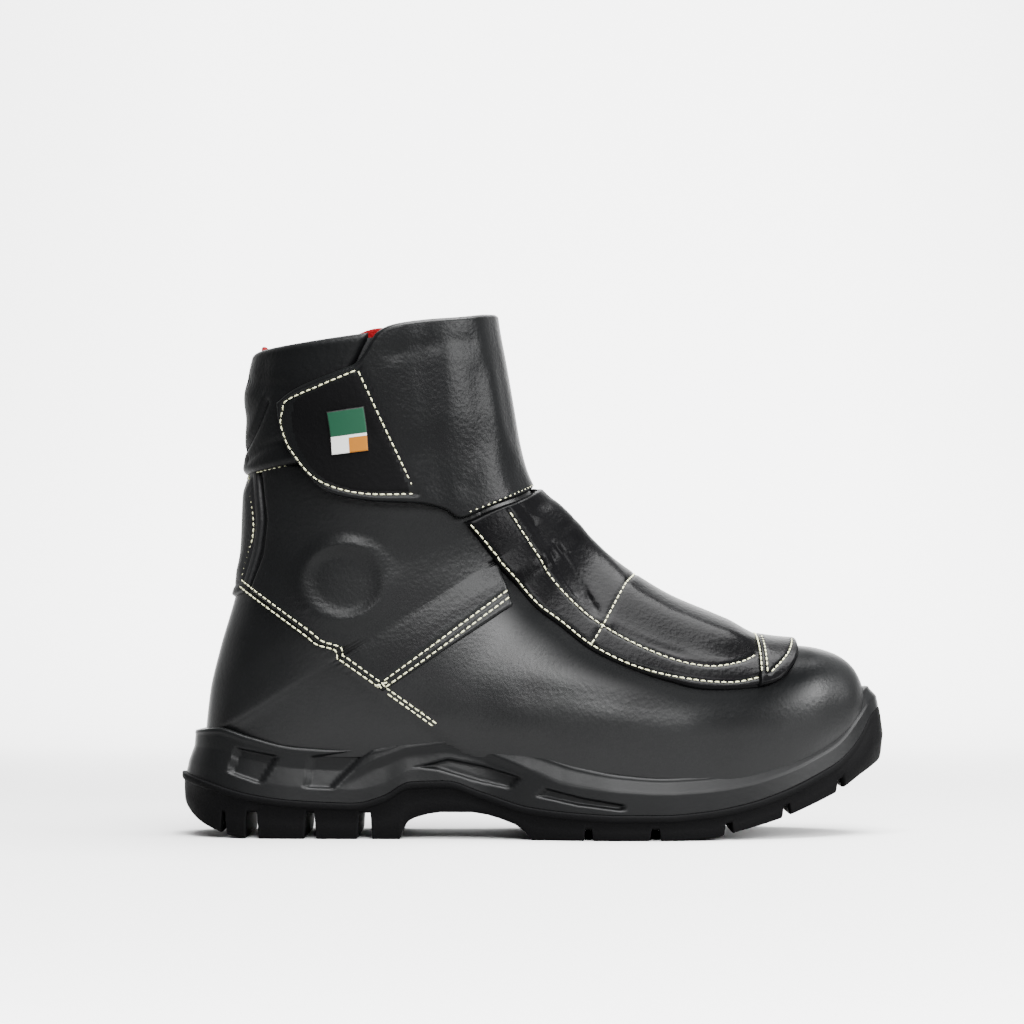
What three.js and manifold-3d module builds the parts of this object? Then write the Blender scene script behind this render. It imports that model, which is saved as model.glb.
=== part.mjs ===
// Metatarsal guard boot, right foot. Millimetres, +X to the toe, +Y to the inner side, +Z up.
// Section tables give x as a share of soleLength, y as a share of soleWidth and z as a share of bootHeight.
import * as THREE from 'three';
import Module from 'manifold-3d';

const wasm = await Module();
wasm.setup();

// Driving sizes
const soleLength = 304;
const soleWidth = 106;
const bootHeight = 225;
const wallThickness = 2.6;
const clearance = 0.3;
const insoleThickness = 3;
const cuffThickness = 3.2;
const collarThickness = 4;
const quarterThickness = 1.3;
const panelThickness = 1.5;
const guardEdge = 3.0;
const guardToe = 2.0;
const guardPad = 7.6;
const tabThickness = 1.6;
const labelThickness = 0.8;
const recessDepth = 1.2;
const heelGrooveDepth = 11;
const foreGrooveDepth = 4.6;
const lipHeight = 3;
const treadInset = 1.8;
const lugInset = 0.9;
const lipInset = 0.2;
const footbedMargin = 1.2;

// A row for each section of the upper, from above the collar down the heel and forward to the toe.
// A section runs from a back point to a front point; outer is the lateral side, inner the medial side.
const upperColumns = ['backX', 'backZ', 'frontX', 'frontZ', 'outer', 'inner', 'outerBase', 'innerBase',
  'middle', 'widest', 'backPower', 'frontPower'];
const upperRows = [
  [0.120, 0.982, 0.434, 1.040, -0.396, 0.396, 0, 0, 0, 0.50, 2.1, 2.1],
  [0.113, 0.913, 0.441, 0.969, -0.394, 0.394, 0, 0, 0, 0.50, 2.1, 2.1],
  [0.101, 0.836, 0.451, 0.896, -0.390, 0.390, 0, 0, 0, 0.50, 2.1, 2.1],
  [0.103, 0.742, 0.461, 0.818, -0.382, 0.382, 0, 0, 0, 0.50, 2.1, 2.1],
  [0.094, 0.644, 0.470, 0.747, -0.373, 0.373, 0, 0, 0, 0.48, 2.1, 2.1],
  [0.091, 0.547, 0.481, 0.691, -0.363, 0.363, 0, 0, 0, 0.47, 2.1, 2.1],
  [0.074, 0.449, 0.496, 0.649, -0.354, 0.349, 0, 0, 0, 0.46, 2.1, 2.1],
  [0.054, 0.356, 0.510, 0.624, -0.349, 0.340, 0, 0, 0, 0.45, 2.1, 2.1],
  [0.039, 0.267, 0.523, 0.609, -0.349, 0.335, 0, 0, 0, 0.44, 2.2, 2.1],
  [0.033, 0.187, 0.533, 0.596, -0.349, 0.330, 0, 0, 0, 0.44, 2.4, 2.1],
  [0.038, 0.182, 0.536, 0.592, -0.349, 0.330, -0.090, 0.090, 0, 0.44, 2.4, 2.1],
  [0.053, 0.176, 0.540, 0.585, -0.351, 0.330, -0.160, 0.160, 0.003, 0.44, 2.4, 2.1],
  [0.082, 0.167, 0.549, 0.572, -0.354, 0.330, -0.236, 0.236, 0.008, 0.44, 2.4, 2.1],
  [0.141, 0.158, 0.563, 0.548, -0.358, 0.330, -0.297, 0.288, 0.014, 0.44, 2.4, 2.0],
  [0.247, 0.153, 0.582, 0.521, -0.366, 0.328, -0.321, 0.283, 0.024, 0.40, 2.4, 2.0],
  [0.362, 0.160, 0.610, 0.490, -0.387, 0.335, -0.338, 0.262, 0.033, 0.36, 2.4, 2.0],
  [0.477, 0.147, 0.643, 0.460, -0.423, 0.368, -0.378, 0.286, 0.038, 0.32, 2.5, 2.0],
  [0.586, 0.113, 0.686, 0.426, -0.449, 0.410, -0.430, 0.366, 0.038, 0.30, 2.5, 2.1],
  [0.681, 0.099, 0.738, 0.396, -0.445, 0.437, -0.434, 0.425, 0.038, 0.30, 2.6, 2.2],
  [0.763, 0.104, 0.791, 0.372, -0.410, 0.434, -0.401, 0.423, 0.038, 0.32, 2.6, 2.4],
  [0.832, 0.122, 0.844, 0.360, -0.350, 0.401, -0.326, 0.386, 0.038, 0.33, 2.6, 2.5],
  [0.888, 0.151, 0.893, 0.354, -0.268, 0.344, -0.240, 0.328, 0.040, 0.33, 2.6, 2.5],
  [0.924, 0.173, 0.931, 0.339, -0.184, 0.283, -0.160, 0.268, 0.045, 0.30, 2.5, 2.4],
  [0.944, 0.191, 0.956, 0.311, -0.125, 0.241, -0.110, 0.230, 0.052, 0.25, 2.4, 2.3],
  [0.954, 0.204, 0.969, 0.269, -0.085, 0.203, -0.085, 0.203, 0.057, 0.10, 2.2, 2.2],
  [0.957, 0.211, 0.975, 0.222, -0.071, 0.189, -0.071, 0.189, 0.058, 0.02, 2.2, 2.2],
];
const rimRow = 1;
const heelRow = 9;
const toeRow = upperRows.length - 1;

// A row for each cross section of the sole, from the heel to the toe.
// tread is its underside, lip the seam of outsole and midsole, rim the top edge, lean the rim's inset.
const soleColumns = ['x', 'outer', 'inner', 'tread', 'lip', 'rim', 'lean'];
const soleRows = [
  [0.000, 0.003, 0.003, 0.079, 0.120, 0.200, 0.061],
  [0.005, -0.104, 0.108, 0.062, 0.118, 0.201, 0.061],
  [0.020, -0.203, 0.203, 0.039, 0.113, 0.204, 0.059],
  [0.049, -0.288, 0.283, 0.017, 0.102, 0.207, 0.057],
  [0.099, -0.344, 0.335, 0.001, 0.084, 0.191, 0.052],
  [0.164, -0.368, 0.354, 0.000, 0.072, 0.172, 0.047],
  [0.247, -0.375, 0.344, 0.000, 0.067, 0.166, 0.047],
  [0.289, -0.378, 0.333, 0.000, 0.080, 0.172, 0.047],
  [0.329, -0.380, 0.321, 0.000, 0.107, 0.192, 0.047],
  [0.378, -0.389, 0.311, 0.000, 0.109, 0.211, 0.047],
  [0.428, -0.400, 0.314, 0.000, 0.088, 0.197, 0.047],
  [0.493, -0.442, 0.342, 0.000, 0.061, 0.167, 0.047],
  [0.559, -0.481, 0.399, 0.000, 0.051, 0.137, 0.047],
  [0.618, -0.500, 0.450, 0.000, 0.047, 0.122, 0.047],
  [0.678, -0.498, 0.486, 0.000, 0.047, 0.116, 0.047],
  [0.737, -0.472, 0.495, 0.003, 0.053, 0.119, 0.047],
  [0.796, -0.423, 0.472, 0.020, 0.067, 0.130, 0.049],
  [0.849, -0.358, 0.434, 0.040, 0.089, 0.151, 0.052],
  [0.895, -0.285, 0.382, 0.064, 0.116, 0.176, 0.057],
  [0.934, -0.206, 0.321, 0.088, 0.144, 0.204, 0.058],
  [0.964, -0.127, 0.255, 0.114, 0.184, 0.248, 0.060],
  [0.984, -0.057, 0.193, 0.130, 0.227, 0.273, 0.063],
  [0.996, 0.009, 0.127, 0.141, 0.240, 0.281, 0.066],
  [1.000, 0.061, 0.061, 0.151, 0.243, 0.283, 0.066],
];

// Grooves across the tread: centre, width and which depth they have
const grooveColumns = ['x', 'width', 'heel'];
const grooveRows = [
  [0.066, 0.010, 1],
  [0.107, 0.020, 1],
  [0.189, 0.017, 1],
  [0.265, 0.021, 1],
  [0.574, 0.014, 0],
  [0.667, 0.016, 0],
  [0.770, 0.014, 0],
  [0.853, 0.014, 0],
  [0.933, 0.014, 0],
];

// Side view outlines, each point a share of soleLength and of bootHeight
const archOutline = [[0.316, -0.100], [0.318, 0.010], [0.325, 0.032], [0.370, 0.050], [0.414, 0.050], [0.453, 0.038],
  [0.479, 0.025], [0.490, 0.010], [0.496, -0.100]];
const recessOutlines = [
  [[0.080, 0.170], [0.142, 0.155], [0.118, 0.103], [0.070, 0.123]],
  [[0.189, 0.149], [0.240, 0.150], [0.277, 0.168], [0.218, 0.094], [0.183, 0.096]],
  [[0.337, 0.137], [0.380, 0.152], [0.479, 0.118], [0.464, 0.096], [0.385, 0.115]],
  [[0.515, 0.097], [0.503, 0.082], [0.621, 0.056], [0.624, 0.067]],
];
// The quarter panel between collar, back strip and the two diagonal seams
const quarterOutline = [[0.120, 0.700], [0.129, 0.600], [0.123, 0.532], [0.106, 0.466], [0.220, 0.347],
  [0.290, 0.277], [0.375, 0.353], [0.470, 0.437], [0.440, 0.560], [0.400, 0.700]];
const stripOutline = [[0.070, 0.706], [0.113, 0.700], [0.122, 0.600], [0.116, 0.534], [0.100, 0.470], [0.040, 0.470]];
const collarOutline = [[0.060, 0.921], [0.060, 0.716], [0.175, 0.716], [0.215, 0.760], [0.262, 0.934], [0.160, 0.920]];

// Edges of the cuff and guard in side view, from the flap's tip forward to the middle of the front
const cuffTop = [[0.153, 0.823], [0.180, 0.849], [0.244, 0.885], [0.266, 0.911], [0.279, 0.947], [0.300, 0.964],
  [0.342, 0.975], [0.397, 0.984], [0.438, 0.996], [0.451, 1.001]];
const cuffBottom = [[0.153, 0.805], [0.163, 0.742], [0.173, 0.716], [0.199, 0.671], [0.224, 0.647], [0.272, 0.634],
  [0.332, 0.630], [0.377, 0.615], [0.396, 0.601], [0.437, 0.624], [0.484, 0.648], [0.502, 0.670]];
const guardSide = [[0.401, 0.595], [0.425, 0.553], [0.449, 0.510], [0.472, 0.476], [0.501, 0.431], [0.536, 0.396],
  [0.582, 0.349], [0.642, 0.312], [0.689, 0.291], [0.731, 0.278], [0.784, 0.278], [0.832, 0.290], [0.859, 0.320],
  [0.874, 0.345]];
const labelOutline = [[0.218, 0.802], [0.266, 0.812], [0.272, 0.728], [0.224, 0.718]];

// Turns a table of shares into rows with named columns, each in its own unit
function table(columns, rows, units) {
  return rows.map((row) => Object.fromEntries(columns.map((name, i) => [name, row[i] * (units[name] ?? 1)])));
}
const upperTable = table(upperColumns, upperRows, {
  backX: soleLength, frontX: soleLength, backZ: bootHeight, frontZ: bootHeight,
  outer: soleWidth, inner: soleWidth, outerBase: soleWidth, innerBase: soleWidth, middle: soleWidth,
});
const soleTable = table(soleColumns, soleRows, {
  x: soleLength, outer: soleWidth, inner: soleWidth, tread: bootHeight, lip: bootHeight, rim: bootHeight,
  lean: soleWidth,
});
const grooves = table(grooveColumns, grooveRows, { x: soleLength, width: soleLength });

// A monotone cubic through one column of evenly numbered rows
function read(rows, name, at) {
  const last = rows.length - 1;
  const i = Math.max(0, Math.min(last - 1, Math.floor(at)));
  const t = at - i;
  const step = (j) => rows[j + 1][name] - rows[j][name];
  const slope = (j) => {
    if (j <= 0) return step(0);
    if (j >= last) return step(last - 1);
    const product = step(j - 1) * step(j);
    return product <= 0 ? 0 : 2 * product / (step(j - 1) + step(j));
  };
  if (t < 0) return rows[0][name] + slope(0) * t;
  const rise = step(i);
  const a = slope(i);
  const b = slope(i + 1);
  return rows[i][name] + t * (a + t * (3 * rise - 2 * a - b + t * (a + b - 2 * rise)));
}

// A value between two rows of a table that is read by x, on a straight line
function readByX(rows, name, x) {
  const last = rows.length - 1;
  let i = 0;
  while (i < last - 1 && rows[i + 1].x < x) i += 1;
  const t = (x - rows[i].x) / (rows[i + 1].x - rows[i].x);
  return rows[i][name] + Math.max(0, Math.min(1, t)) * (rows[i + 1][name] - rows[i][name]);
}

// A point of the upper's outer face: u from -1 (lateral base) over 0 (front ridge) to 1 (medial base)
function bare(u, v) {
  const row = Object.fromEntries(upperColumns.map((name) => [name, read(upperTable, name, v)]));
  const closed = v <= heelRow;
  const length = Math.hypot(row.frontX - row.backX, row.frontZ - row.backZ);
  const wide = (u < 0 ? row.outer : row.inner) - row.middle;
  const base = closed ? 0 : (u < 0 ? row.outerBase : row.innerBase) - row.middle;
  const meanWide = (row.inner - row.outer) / 2;
  const meanBase = closed ? 0 : (row.innerBase - row.outerBase) / 2;
  const frontRun = Math.hypot((1 - row.widest) * length, meanWide);
  const backRun = Math.hypot(row.widest * length, meanWide - meanBase);
  const split = frontRun / (frontRun + backRun);
  const turn = Math.min(1, Math.abs(u));
  let share;
  let side;
  if (turn <= split) {
    const angle = Math.PI / 2 * turn / split;
    share = row.widest + (1 - row.widest) * Math.cos(angle) ** (2 / row.frontPower);
    side = wide * Math.sin(angle) ** (2 / row.frontPower);
  } else {
    const cut = 1 - Math.min(0.9999, Math.max(0, base / wide)) ** row.backPower;
    const angle = Math.asin(Math.sqrt(cut)) * (turn - split) / (1 - split);
    share = row.widest * (1 - Math.sin(angle) ** (2 / row.backPower) / cut ** (1 / row.backPower));
    side = wide * Math.max(0, Math.cos(angle)) ** (2 / row.backPower);
  }
  return new THREE.Vector3(
    row.backX + share * (row.frontX - row.backX),
    row.middle + side,
    row.backZ + share * (row.frontZ - row.backZ),
  );
}

// The same point moved out along the face's normal by offset
function skin(u, v, offset) {
  const point = bare(u, v);
  const du = u > 0 ? -0.004 : 0.004;
  const dv = v > toeRow - 0.5 ? -0.02 : 0.02;
  const along = bare(u + du, v).sub(point).multiplyScalar(Math.sign(du));
  const down = bare(u, v + dv).sub(point).multiplyScalar(Math.sign(dv));
  const normal = down.cross(along).normalize();
  if (Math.abs(u) < 0.02) normal.y *= Math.abs(u) / 0.02;
  if (v <= heelRow && Math.abs(u) > 0.98) normal.y *= (1 - Math.abs(u)) / 0.02;
  return point.addScaledVector(normal.normalize(), offset);
}

// The u and v of a side view point on the lateral (side -1) or medial (side 1) face
function locate(x, z, side) {
  let low = 0;
  let high = toeRow;
  for (let k = 0; k < 40; k += 1) {
    const v = (low + high) / 2;
    const bx = read(upperTable, 'backX', v);
    const bz = read(upperTable, 'backZ', v);
    const fx = read(upperTable, 'frontX', v);
    const fz = read(upperTable, 'frontZ', v);
    const above = (fx - bx) * (z - bz) - (fz - bz) * (x - bx);
    if (above > 0) high = v;
    else low = v;
  }
  const v = (low + high) / 2;
  let near = 0;
  let far = 1;
  for (let k = 0; k < 40; k += 1) {
    const u = (near + far) / 2;
    const point = bare(side * u, v);
    if (point.x > x) near = u;
    else far = u;
  }
  return { u: side * (near + far) / 2, v };
}

// A mesh kept as a list of points and triangles
class Solid {
  constructor() {
    this.points = [];
    this.faces = [];
  }

  point(p) {
    this.points.push(p);
    return this.points.length - 1;
  }

  quad(a, b, c, d) {
    this.triangle(a, b, c);
    this.triangle(a, c, d);
  }

  triangle(a, b, c) {
    if (a !== b && b !== c && a !== c) this.faces.push([a, b, c]);
  }

  manifold() {
    const vertProperties = new Float32Array(this.points.flatMap((p) => [p.x, p.y, p.z]));
    const triVerts = new Uint32Array(this.faces.flat());
    const mesh = new wasm.Mesh({ numProp: 3, vertProperties, triVerts });
    mesh.merge();
    return new wasm.Manifold(mesh);
  }
}

function steps(from, to, count) {
  return Array.from({ length: count + 1 }, (_, i) => from + (to - from) * i / count);
}

const aroundSteps = 28;
const around = steps(-1, 1, aroundSteps);
const shaftRows = steps(rimRow, heelRow, 12);
const openRows = [...steps(heelRow, 14, 5), ...steps(14.5, 18, 7), ...steps(18.5, 23, 9), 24, 25];

// One face of the upper as a grid of point numbers; closed rows share their first and last point
function face(solid, rows, offset) {
  return rows.map((v) => {
    const line = around.map((u, i) => {
      if (v <= heelRow && i === aroundSteps) return -1;
      return solid.point(skin(u, v, offset));
    });
    if (v <= heelRow) line[aroundSteps] = line[0];
    return line;
  });
}

function gridFaces(solid, grid, flip) {
  for (let j = 0; j < grid.length - 1; j += 1) {
    for (let i = 0; i < grid[j].length - 1; i += 1) {
      const q = [grid[j][i], grid[j][i + 1], grid[j + 1][i + 1], grid[j + 1][i]];
      if (flip) q.reverse();
      solid.quad(...q);
    }
  }
}

// The closed body inside the face at offset, from a top row down to the base, drop below the base
function form(offset, topRow, drop) {
  const solid = new Solid();
  const rows = [topRow, ...shaftRows.filter((v) => v > topRow), ...openRows.slice(1)];
  const grid = face(solid, rows, offset);
  gridFaces(solid, grid, true);
  for (let i = 1; i < aroundSteps - 1; i += 1) solid.triangle(grid[0][0], grid[0][i], grid[0][i + 1]);
  const firstOpen = rows.findIndex((v) => v >= heelRow);
  const last = rows.length - 1;
  const below = (index) => {
    const p = solid.points[index];
    return solid.point(new THREE.Vector3(p.x, p.y, p.z - drop));
  };
  const left = grid.map((line, j) => (j < firstOpen ? -1 : below(line[0])));
  const right = grid.map((line, j) => (j <= firstOpen ? left[j] : below(line[aroundSteps])));
  for (let j = firstOpen; j < last; j += 1) {
    solid.quad(grid[j + 1][0], grid[j][0], left[j], left[j + 1]);
    solid.quad(grid[j][aroundSteps], grid[j + 1][aroundSteps], right[j + 1], right[j]);
    solid.quad(left[j], right[j], right[j + 1], left[j + 1]);
  }
  const end = grid[last].map((index, i) => (i === 0 ? left[last] : i === aroundSteps ? right[last] : below(index)));
  for (let i = 0; i < aroundSteps; i += 1) {
    solid.quad(grid[last][i + 1], grid[last][i], end[i], end[i + 1]);
    if (i > 0) solid.triangle(end[0], end[i + 1], end[i]);
  }
  return solid.manifold();
}

function meshOf(name, manifold, color, roughness) {
  const result = manifold.getMesh();
  const geometry = new THREE.BufferGeometry();
  const positions = new Float32Array(result.numVert * 3);
  for (let i = 0; i < result.numVert; i += 1) {
    for (let k = 0; k < 3; k += 1) positions[3 * i + k] = result.vertProperties[i * result.numProp + k];
  }
  geometry.setAttribute('position', new THREE.BufferAttribute(positions, 3));
  geometry.setIndex(new THREE.BufferAttribute(new Uint32Array(result.triVerts), 1));
  const mesh = new THREE.Mesh(geometry, new THREE.MeshStandardMaterial({ color, roughness, metalness: 0 }));
  mesh.name = name;
  return mesh;
}

// A prism through the boot from a side view outline, kept between two y values
function prism(outline, yFrom, yTo) {
  const solid = new Solid();
  const shape = outline.map(([x, z]) => new THREE.Vector2(x * soleLength, z * bootHeight));
  if (THREE.ShapeUtils.isClockWise(shape)) shape.reverse();
  const near = shape.map((p) => solid.point(new THREE.Vector3(p.x, yFrom, p.y)));
  const far = shape.map((p) => solid.point(new THREE.Vector3(p.x, yTo, p.y)));
  THREE.ShapeUtils.triangulateShape(shape, []).forEach(([a, b, c]) => {
    solid.triangle(near[a], near[b], near[c]);
    solid.triangle(far[a], far[c], far[b]);
  });
  shape.forEach((_, i) => {
    const j = (i + 1) % shape.length;
    solid.quad(near[i], far[i], far[j], near[j]);
  });
  return solid.manifold();
}

const farSide = soleWidth;

// Upper: one hollow wall, open at the collar and underneath
function makeUpper() {
  const solid = new Solid();
  const rows = [...shaftRows, ...openRows.slice(1)];
  const outer = face(solid, rows, 0);
  const inner = face(solid, rows, -wallThickness);
  gridFaces(solid, outer, true);
  gridFaces(solid, inner, false);
  const last = rows.length - 1;
  const level = (j, i) => {
    solid.points[inner[j][i]].z = solid.points[outer[j][i]].z;
  };
  for (let i = 0; i < aroundSteps; i += 1) {
    solid.quad(outer[0][i], outer[0][i + 1], inner[0][i + 1], inner[0][i]);
    solid.quad(outer[last][i + 1], outer[last][i], inner[last][i], inner[last][i + 1]);
    level(last, i);
  }
  const e = aroundSteps;
  level(last, e);
  for (let j = rows.findIndex((v) => v >= heelRow); j < last; j += 1) {
    solid.quad(outer[j][0], inner[j][0], inner[j + 1][0], outer[j + 1][0]);
    solid.quad(outer[j][e], outer[j + 1][e], inner[j + 1][e], inner[j][e]);
    level(j, 0);
    level(j, e);
  }
  return solid.manifold();
}

// A body of the sole: rings of points down its side, levels from bottom to top
function soleBody(levels) {
  const solid = new Solid();
  const stations = [...steps(0, 4, 6), ...steps(5, 18, 13), ...steps(18.8, soleRows.length - 1, 7)];
  const at = (s) => Object.fromEntries(soleColumns.map((name) => [name, read(soleTable, name, s)]));
  const last = soleRows.length - 1;
  const ring = (level, side) => stations.map((s) => {
    const row = at(s);
    const name = side < 0 ? 'outer' : 'inner';
    const back = at(Math.max(0, s - 0.05));
    const next = at(Math.min(last, s + 0.05));
    const tangent = new THREE.Vector2(next.x - back.x, next[name] - back[name]).normalize();
    if (s === 0 || s === last) tangent.set(0, s === 0 ? side : -side);
    const normal = new THREE.Vector2(-side * tangent.y, side * tangent.x);
    const { inset, z } = level(row);
    return new THREE.Vector3(row.x - normal.x * inset, row[name] - normal.y * inset, z);
  });
  const lines = levels.map((level) => [ring(level, -1), ring(level, 1)].map((side) => side.map((p) => solid.point(p))));
  const count = stations.length;
  lines.forEach(([outer, inner]) => {
    inner[0] = outer[0];
    inner[count - 1] = outer[count - 1];
  });
  for (let k = 0; k < lines.length - 1; k += 1) {
    for (let i = 0; i < count - 1; i += 1) {
      const [low, high] = [lines[k], lines[k + 1]];
      solid.quad(low[0][i], low[0][i + 1], high[0][i + 1], high[0][i]);
      solid.quad(low[1][i + 1], low[1][i], high[1][i], high[1][i + 1]);
    }
  }
  for (let i = 0; i < count - 1; i += 1) {
    const bottom = lines[0];
    const top = lines[lines.length - 1];
    solid.quad(bottom[0][i], bottom[1][i], bottom[1][i + 1], bottom[0][i + 1]);
    solid.quad(top[0][i], top[0][i + 1], top[1][i + 1], top[1][i]);
  }
  return solid.manifold();
}

function groove(row) {
  const depth = row.heel ? heelGrooveDepth : foreGrooveDepth;
  const low = readByX(soleTable, 'tread', row.x - row.width / 2);
  const high = readByX(soleTable, 'tread', row.x + row.width / 2);
  const box = new THREE.BoxGeometry(row.width, 1.4 * soleWidth, 2 * depth);
  box.rotateY(-Math.atan2(high - low, row.width));
  box.translate(row.x, 0, (low + high) / 2);
  const solid = new Solid();
  const position = box.attributes.position;
  for (let i = 0; i < position.count; i += 1) solid.point(new THREE.Vector3().fromBufferAttribute(position, i));
  for (let i = 0; i < box.index.count; i += 3) {
    solid.triangle(box.index.getX(i), box.index.getX(i + 1), box.index.getX(i + 2));
  }
  return solid.manifold();
}

// Outsole: tread, lug sides and the lip that runs round the boot
function makeOutsole() {
  const height = (row) => row.lip - row.tread;
  let body = soleBody([
    (row) => ({ inset: treadInset, z: row.tread }),
    (row) => ({ inset: lugInset, z: row.tread + 0.12 * height(row) }),
    (row) => ({ inset: lugInset, z: row.lip - Math.min(lipHeight, 0.4 * height(row)) }),
    (row) => ({ inset: 0, z: row.lip - 0.8 * Math.min(lipHeight, 0.4 * height(row)) }),
    (row) => ({ inset: lipInset, z: row.lip }),
  ]);
  body = body.subtract(prism(archOutline, -farSide, farSide));
  grooves.forEach((row) => {
    body = body.subtract(groove(row));
  });
  return body;
}

// Midsole: leaning side with its recesses, hollowed to the upper's own form
function makeMidsole() {
  const wall = (extra) => soleBody([
    (row) => ({ inset: treadInset + extra, z: row.lip + clearance }),
    (row) => ({ inset: 0.45 * row.lean + extra, z: row.lip + 0.25 * (row.rim - row.lip) }),
    (row) => ({ inset: 0.80 * row.lean + extra, z: row.lip + 0.60 * (row.rim - row.lip) }),
    (row) => ({ inset: 0.88 * row.lean + extra, z: row.lip + 0.92 * (row.rim - row.lip) }),
    (row) => ({ inset: row.lean + extra, z: row.rim }),
  ]);
  let body = wall(0).subtract(form(clearance, 6, 2 * clearance));
  const core = wall(recessDepth);
  recessOutlines.forEach((outline) => {
    body = body.subtract(prism(outline, -farSide, farSide).subtract(core));
  });
  return body;
}

// Insole: a footbed with the outline of the upper's inner base
function makeInsole() {
  const solid = new Solid();
  const gap = wallThickness + footbedMargin;
  const rows = [heelRow + 1.3, ...steps(heelRow + 2, 22, 15), 23];
  const side = (sign, lift) => rows.map((v) => {
    const p = skin(sign, v, -gap);
    p.z += lift;
    return solid.point(p);
  });
  const low = [side(-1, clearance), side(1, clearance)];
  const high = [side(-1, clearance + insoleThickness), side(1, clearance + insoleThickness)];
  const last = rows.length - 1;
  for (let j = 0; j < last; j += 1) {
    solid.quad(low[0][j], low[1][j], low[1][j + 1], low[0][j + 1]);
    solid.quad(high[0][j], high[0][j + 1], high[1][j + 1], high[1][j]);
    solid.quad(low[0][j], low[0][j + 1], high[0][j + 1], high[0][j]);
    solid.quad(low[1][j + 1], low[1][j], high[1][j], high[1][j + 1]);
  }
  solid.quad(low[1][0], low[0][0], high[0][0], high[1][0]);
  solid.quad(low[0][last], low[1][last], high[1][last], high[0][last]);
  return solid.manifold();
}

// A panel cut between two larger forms of the upper by a side view outline
function overlay(outline, from, to, yFrom, yTo) {
  return form(to, 0.4, 1).subtract(form(from, 0.2, 2)).intersect(prism(outline, yFrom, yTo));
}

// Collar: the padded back of the shaft top
function makeCollar() {
  return overlay(collarOutline, clearance, clearance + collarThickness, -farSide, farSide);
}

// Quarter panel: overlaps heel and vamp, on both sides of the boot
function makeQuarter(side) {
  const [from, to] = side < 0 ? [-farSide, 0] : [0, farSide];
  return overlay(quarterOutline, clearance, clearance + quarterThickness, from, to);
}

// Back strip: stitched over the back of the ankle
function makeBackStrip() {
  return overlay(stripOutline, clearance, clearance + panelThickness, -farSide, farSide);
}

// Label: sewn flat on the closing flap
function makeLabel() {
  const lift = 2 * clearance + collarThickness + cuffThickness + clearance;
  return overlay(labelOutline, lift, lift + labelThickness, -farSide, 0);
}

// A value of v along an edge of side view points, read at u
function edge(points, side) {
  const found = points.map(([x, z]) => locate(x * soleLength, z * bootHeight, side));
  return (u) => {
    const sorted = [...found].sort((a, b) => Math.abs(b.u) - Math.abs(a.u));
    let i = 0;
    while (i < sorted.length - 2 && Math.abs(sorted[i + 1].u) > Math.abs(u)) i += 1;
    const a = sorted[i];
    const b = sorted[i + 1];
    const t = (Math.abs(u) - Math.abs(a.u)) / (Math.abs(b.u) - Math.abs(a.u));
    return a.v + Math.max(0, Math.min(1, t)) * (b.v - a.v);
  };
}

// A layer over the upper: columns of u, v from top to bottom, inner and outer offsets
function layer(columns, rows, inside, outside) {
  const solid = new Solid();
  const sheet = (offset) => rows.map((q) => columns.map((column) => {
    const v = column.top + q * (column.bottom - column.top);
    return solid.point(skin(column.u(q), v, offset(column, q)));
  }));
  const outer = sheet(outside);
  const inner = sheet(inside);
  gridFaces(solid, outer, true);
  gridFaces(solid, inner, false);
  const last = rows.length - 1;
  const end = columns.length - 1;
  for (let i = 0; i < end; i += 1) {
    solid.quad(outer[0][i], outer[0][i + 1], inner[0][i + 1], inner[0][i]);
    solid.quad(outer[last][i + 1], outer[last][i], inner[last][i], inner[last][i + 1]);
  }
  for (let j = 0; j < last; j += 1) {
    solid.quad(outer[j][0], inner[j][0], inner[j + 1][0], outer[j + 1][0]);
    solid.quad(outer[j][end], outer[j + 1][end], inner[j + 1][end], inner[j][end]);
  }
  return solid.manifold();
}

function smooth(value, from, to) {
  const t = Math.max(0, Math.min(1, (value - from) / (to - from)));
  return t * t * (3 - 2 * t);
}

// Cuff: wraps the front of the shaft, its closing flap laid back over the collar on the outer side
function makeCuff() {
  const tip = locate(cuffTop[0][0] * soleLength, cuffTop[0][1] * bootHeight, -1).u;
  const top = edge(cuffTop, -1);
  const bottom = edge(cuffBottom, -1);
  const innerEnd = 0.52;
  const spread = [...steps(tip, tip + 0.1, 3), ...steps(tip + 0.15, -0.05, 13), ...steps(0, innerEnd, 9)];
  const columns = spread.map((u) => ({ u: () => u, at: u, top: top(-Math.abs(u)), bottom: bottom(-Math.abs(u)) }));
  const overQuarter = (quarterThickness + clearance);
  const overCollar = (collarThickness - quarterThickness);
  const rise = (column) => clearance + overQuarter * smooth(Math.abs(column.at), 0.10, 0.22)
    + overCollar * smooth(-column.at, 0.36, 0.46);
  return layer(columns, steps(0, 1, 7), rise, (column) => rise(column) + cuffThickness);
}

// Guard: stitched border and a padded dome, running from the cuff's lower edge to the toe tab
const guardEnd = 20.55;
function guardColumns(count) {
  const found = guardSide.map(([x, z]) => locate(x * soleLength, z * bootHeight, -1));
  const bottom = edge(cuffBottom, -1);
  const reach = (v) => {
    let i = 0;
    while (i < found.length - 2 && found[i + 1].v < v) i += 1;
    const t = (v - found[i].v) / (found[i + 1].v - found[i].v);
    return Math.max(0.12, Math.abs(found[i].u + Math.min(1, Math.max(0, t)) * (found[i + 1].u - found[i].u)));
  };
  return steps(-1, 1, count).map((p) => {
    const top = bottom(-Math.abs(p * reach(found[0].v))) + 0.14;
    return { u: (q) => p * reach(top + q * (guardEnd - top)), p, top, bottom: guardEnd };
  });
}

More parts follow.
